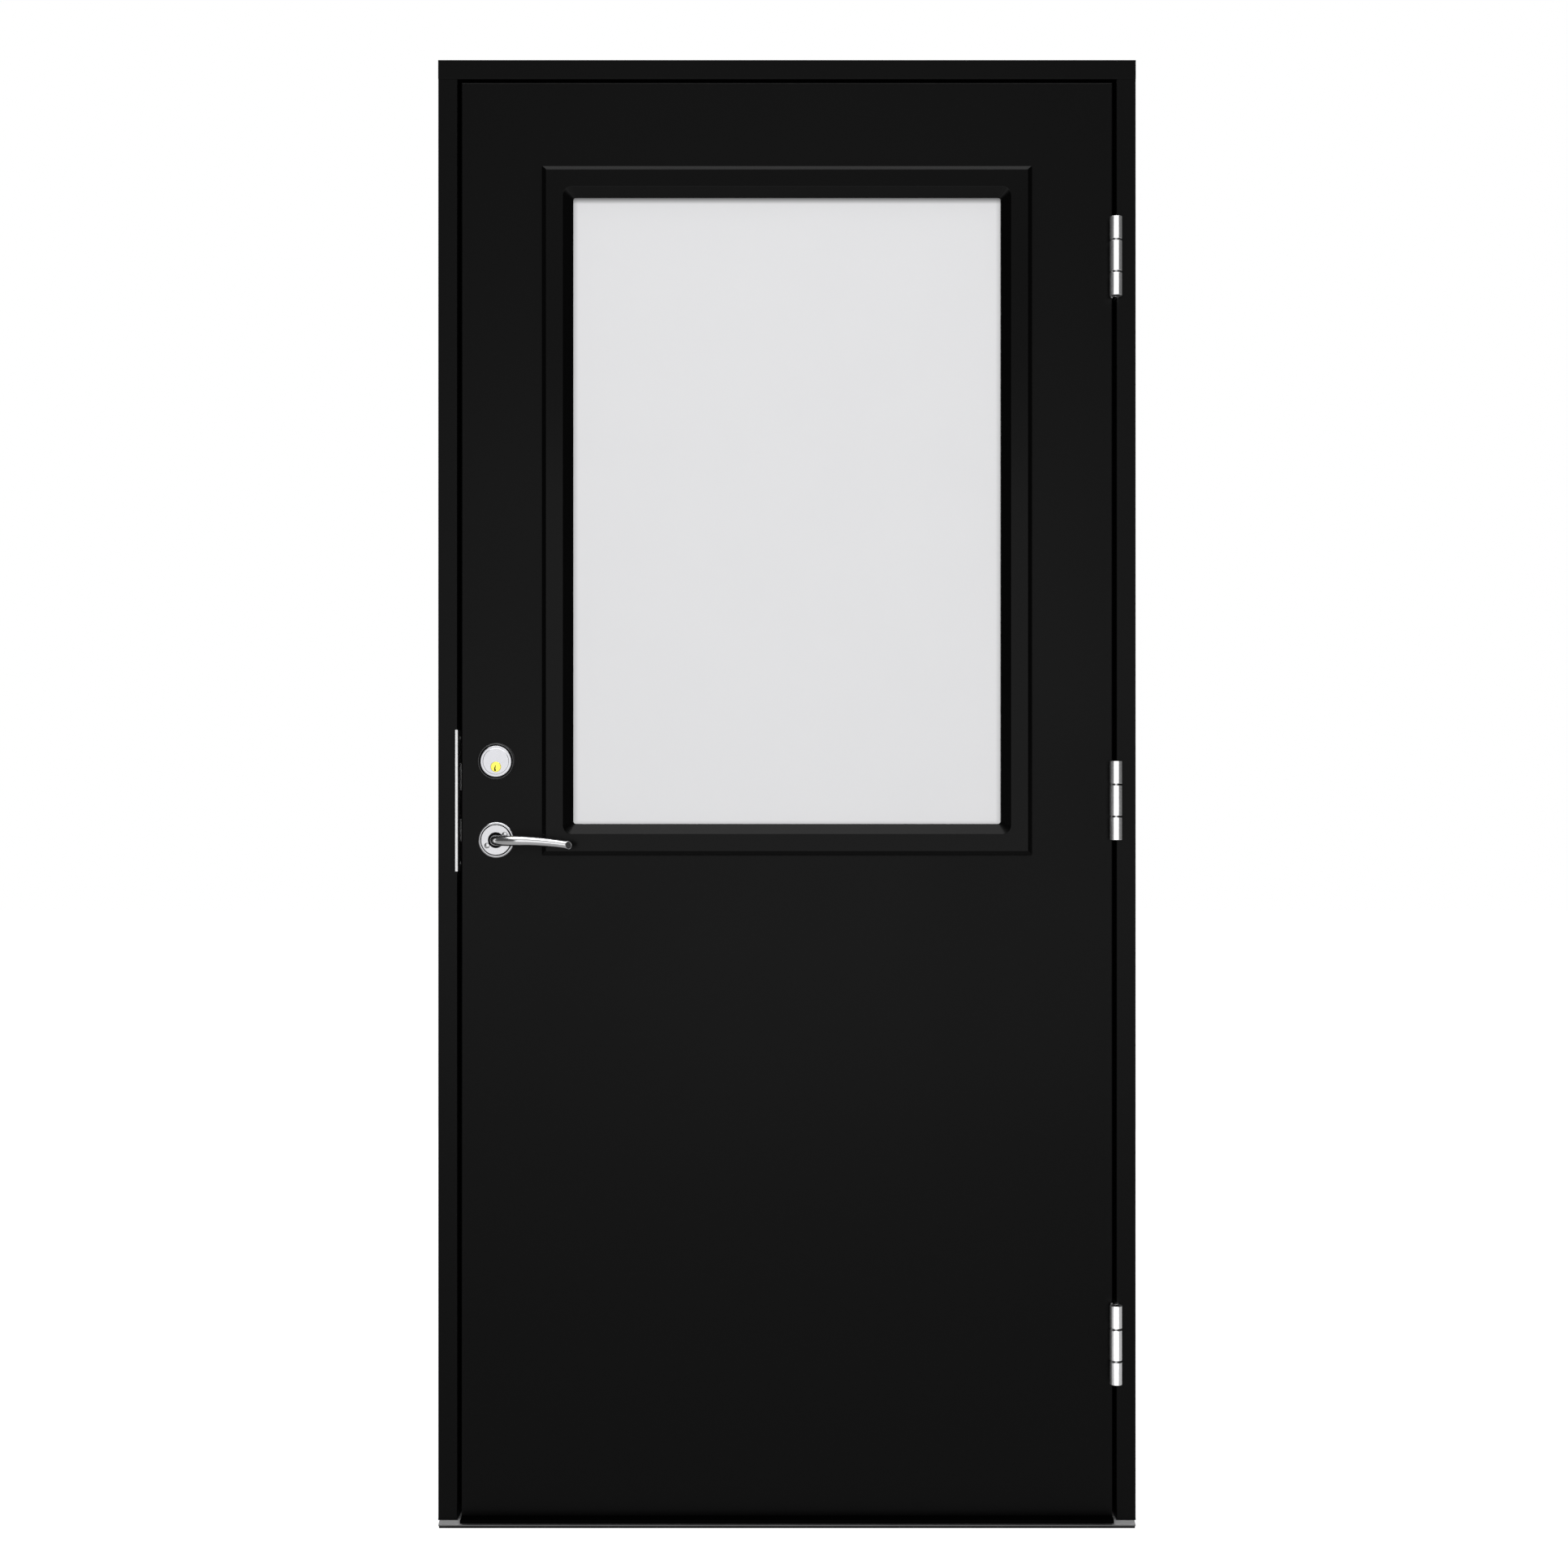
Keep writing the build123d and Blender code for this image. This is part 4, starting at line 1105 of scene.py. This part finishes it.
buildSill()
buildDripBar()
buildSeal("headSeal", "head_seal", False)
buildSeal("hingeJambSeal", "hinge_jamb_seal", True)
buildSeal("latchJambSeal", "latch_jamb_seal", True)
buildSeal("thresholdSeal", "threshold_seal", False)
print("sill, drip bar and seals pulled")


# Studio: pale floor, white surround, soft lights

metalSlots = ["sill_alloy", "zinc_plate", "bolt_steel", "satin_chrome", "ring_dark", "plug_brass"]
allButHinges = [slot for slot in finishes if slot != "hinge_zinc"]
studio = {
    "floorSize": 30.0, "floorColour": (grey(0.40), grey(0.42)), "floorGlow": (0.38, 1.0), "surround": 0.10,
    "backdrop": 1.0,
    "lights": {  # place, aim, width, height in metres, radiance
        "frontSoftbox": ((0, -3.7, 1.15), (0, 0, 1.15), 3.2, 1.9, 1.45),
        "upperSoftbox": ((0, -3.7, 2.95), (0, 0, 2.4), 3.2, 1.7, 0.64),
        "overheadSoftbox": ((0, -0.9, 2.95), (0, -0.9, 0), 3.4, 2.0, 2.8),
        "cassetteSoftbox": ((0, -3.5, 5.25), (0, 0, 0.99), 3.4, 1.5, 4.5),
        "lowSoftbox": ((0, -2.45, 0.02), (0, 0, 1.89), 3.0, 1.0, 0.7),
        "paneSoftbox": ((0, -3.0, 1.42), (0, 0, 1.42), 2.4, 2.4, 2.05),
        "topStrip": ((0, -0.2, 2.9), (0, -0.2, 0), 3.0, 0.5, 3.0),
        "hingeSoftbox": ((0.37, -0.6, 1.05), (0.37, 0, 1.05), 1.28, 2.1, 1.25),
        "indoorSoftbox": ((0, 3.6, 1.1), (0, 0, 1.1), 5.0, 2.0, 0.8),
        "leftEdgeLight": ((-3.0, 1.3, 1.1), (-0.5, 0.05, 1.1), 1.2, 2.2, 1.2),
        "rightEdgeLight": ((3.0, 1.3, 1.1), (0.5, 0.05, 1.1), 1.2, 2.2, 1.2),
    },
    "linked": {
        "hingeSoftbox": ["hinge_zinc"],
        "overheadSoftbox": metalSlots,
        "cassetteSoftbox": ["cassette_black"],
        "lowSoftbox": ["cassette_black"],
        "paneSoftbox": ["frosted_glass"],
        "leftEdgeLight": allButHinges,
        "rightEdgeLight": allButHinges,
    },
}


def buildFloor():
    clearSelection()
    bpy.ops.mesh.primitive_plane_add(size=studio["floorSize"], location=(0, 0, cadLow.z - mm / 2))
    floor = nameNew("studioFloor")
    finish, tree, shader = newFinish("paleFloor", metallic=0.0, roughness=0.8, specular=0.1)
    shader.inputs["Emission Color"].default_value = (1, 1, 1, 1)
    seen = tree.nodes.new("ShaderNodeLightPath")  # the floor looks white, but lights the door more softly
    spread(tree, seen.outputs["Is Camera Ray"], *studio["floorGlow"], shader.inputs["Emission Strength"])
    tint(tree, grain(tree, scale=1.5), *studio["floorColour"], shader.inputs["Base Color"])
    floor.data.materials.append(finish)


def buildSurround():  # the camera sees white, the door only a faint glow
    world = bpy.data.worlds.new("studioSurround")
    bpy.context.scene.world = world
    world.use_nodes = True
    tree = world.node_tree
    surround = tree.nodes["Background"]
    surround.inputs["Color"].default_value = (1, 1, 1, 1)
    surround.inputs["Strength"].default_value = studio["surround"]
    backdrop = tree.nodes.new("ShaderNodeBackground")
    backdrop.inputs["Color"].default_value = (1, 1, 1, 1)
    backdrop.inputs["Strength"].default_value = studio["backdrop"]
    path = tree.nodes.new("ShaderNodeLightPath")
    mix = tree.nodes.new("ShaderNodeMixShader")
    tree.links.new(path.outputs["Is Camera Ray"], mix.inputs["Fac"])
    tree.links.new(surround.outputs["Background"], mix.inputs[1])
    tree.links.new(backdrop.outputs["Background"], mix.inputs[2])
    tree.links.new(mix.outputs["Shader"], tree.nodes["World Output"].inputs["Surface"])
    bpy.context.scene.view_settings.view_transform = "Standard"


def hangLights():
    for name, (place, aim, width, height, radiance) in studio["lights"].items():
        data = bpy.data.lights.new(name, "AREA")
        data.shape = "RECTANGLE"
        data.size = width
        data.size_y = height
        data.energy = radiance * math.pi * width * height
        light = bpy.data.objects.new(name, data)
        light.location = place
        light.rotation_euler = (Vector(aim) - Vector(place)).to_track_quat("-Z", "Y").to_euler()
        light.visible_camera = False
        bpy.context.scene.collection.objects.link(light)
        if name in studio["linked"]:  # lights only the pieces in these finishes
            lit = bpy.data.collections.new(name + "Lit")
            for piece, slot in dressed.items():
                if slot in studio["linked"][name]:
                    lit.objects.link(bpy.data.objects[piece])
            light.light_linking.receiver_collection = lit


viewpoint = {"place": (-0.0042, -3.09, 1.0524), "lens": 50.0, "sensor": 36.0}


def buildCamera():
    data = bpy.data.cameras.new("photoCamera")
    data.lens = viewpoint["lens"]
    data.sensor_width = viewpoint["sensor"]
    camera = bpy.data.objects.new("photoCamera", data)
    camera.location = viewpoint["place"]
    camera.rotation_euler = (math.pi / 2, 0, 0)
    bpy.context.scene.collection.objects.link(camera)
    bpy.context.scene.camera = camera


buildFloor()
buildSurround()
hangLights()
buildCamera()
clearSelection()
print("studio lit")
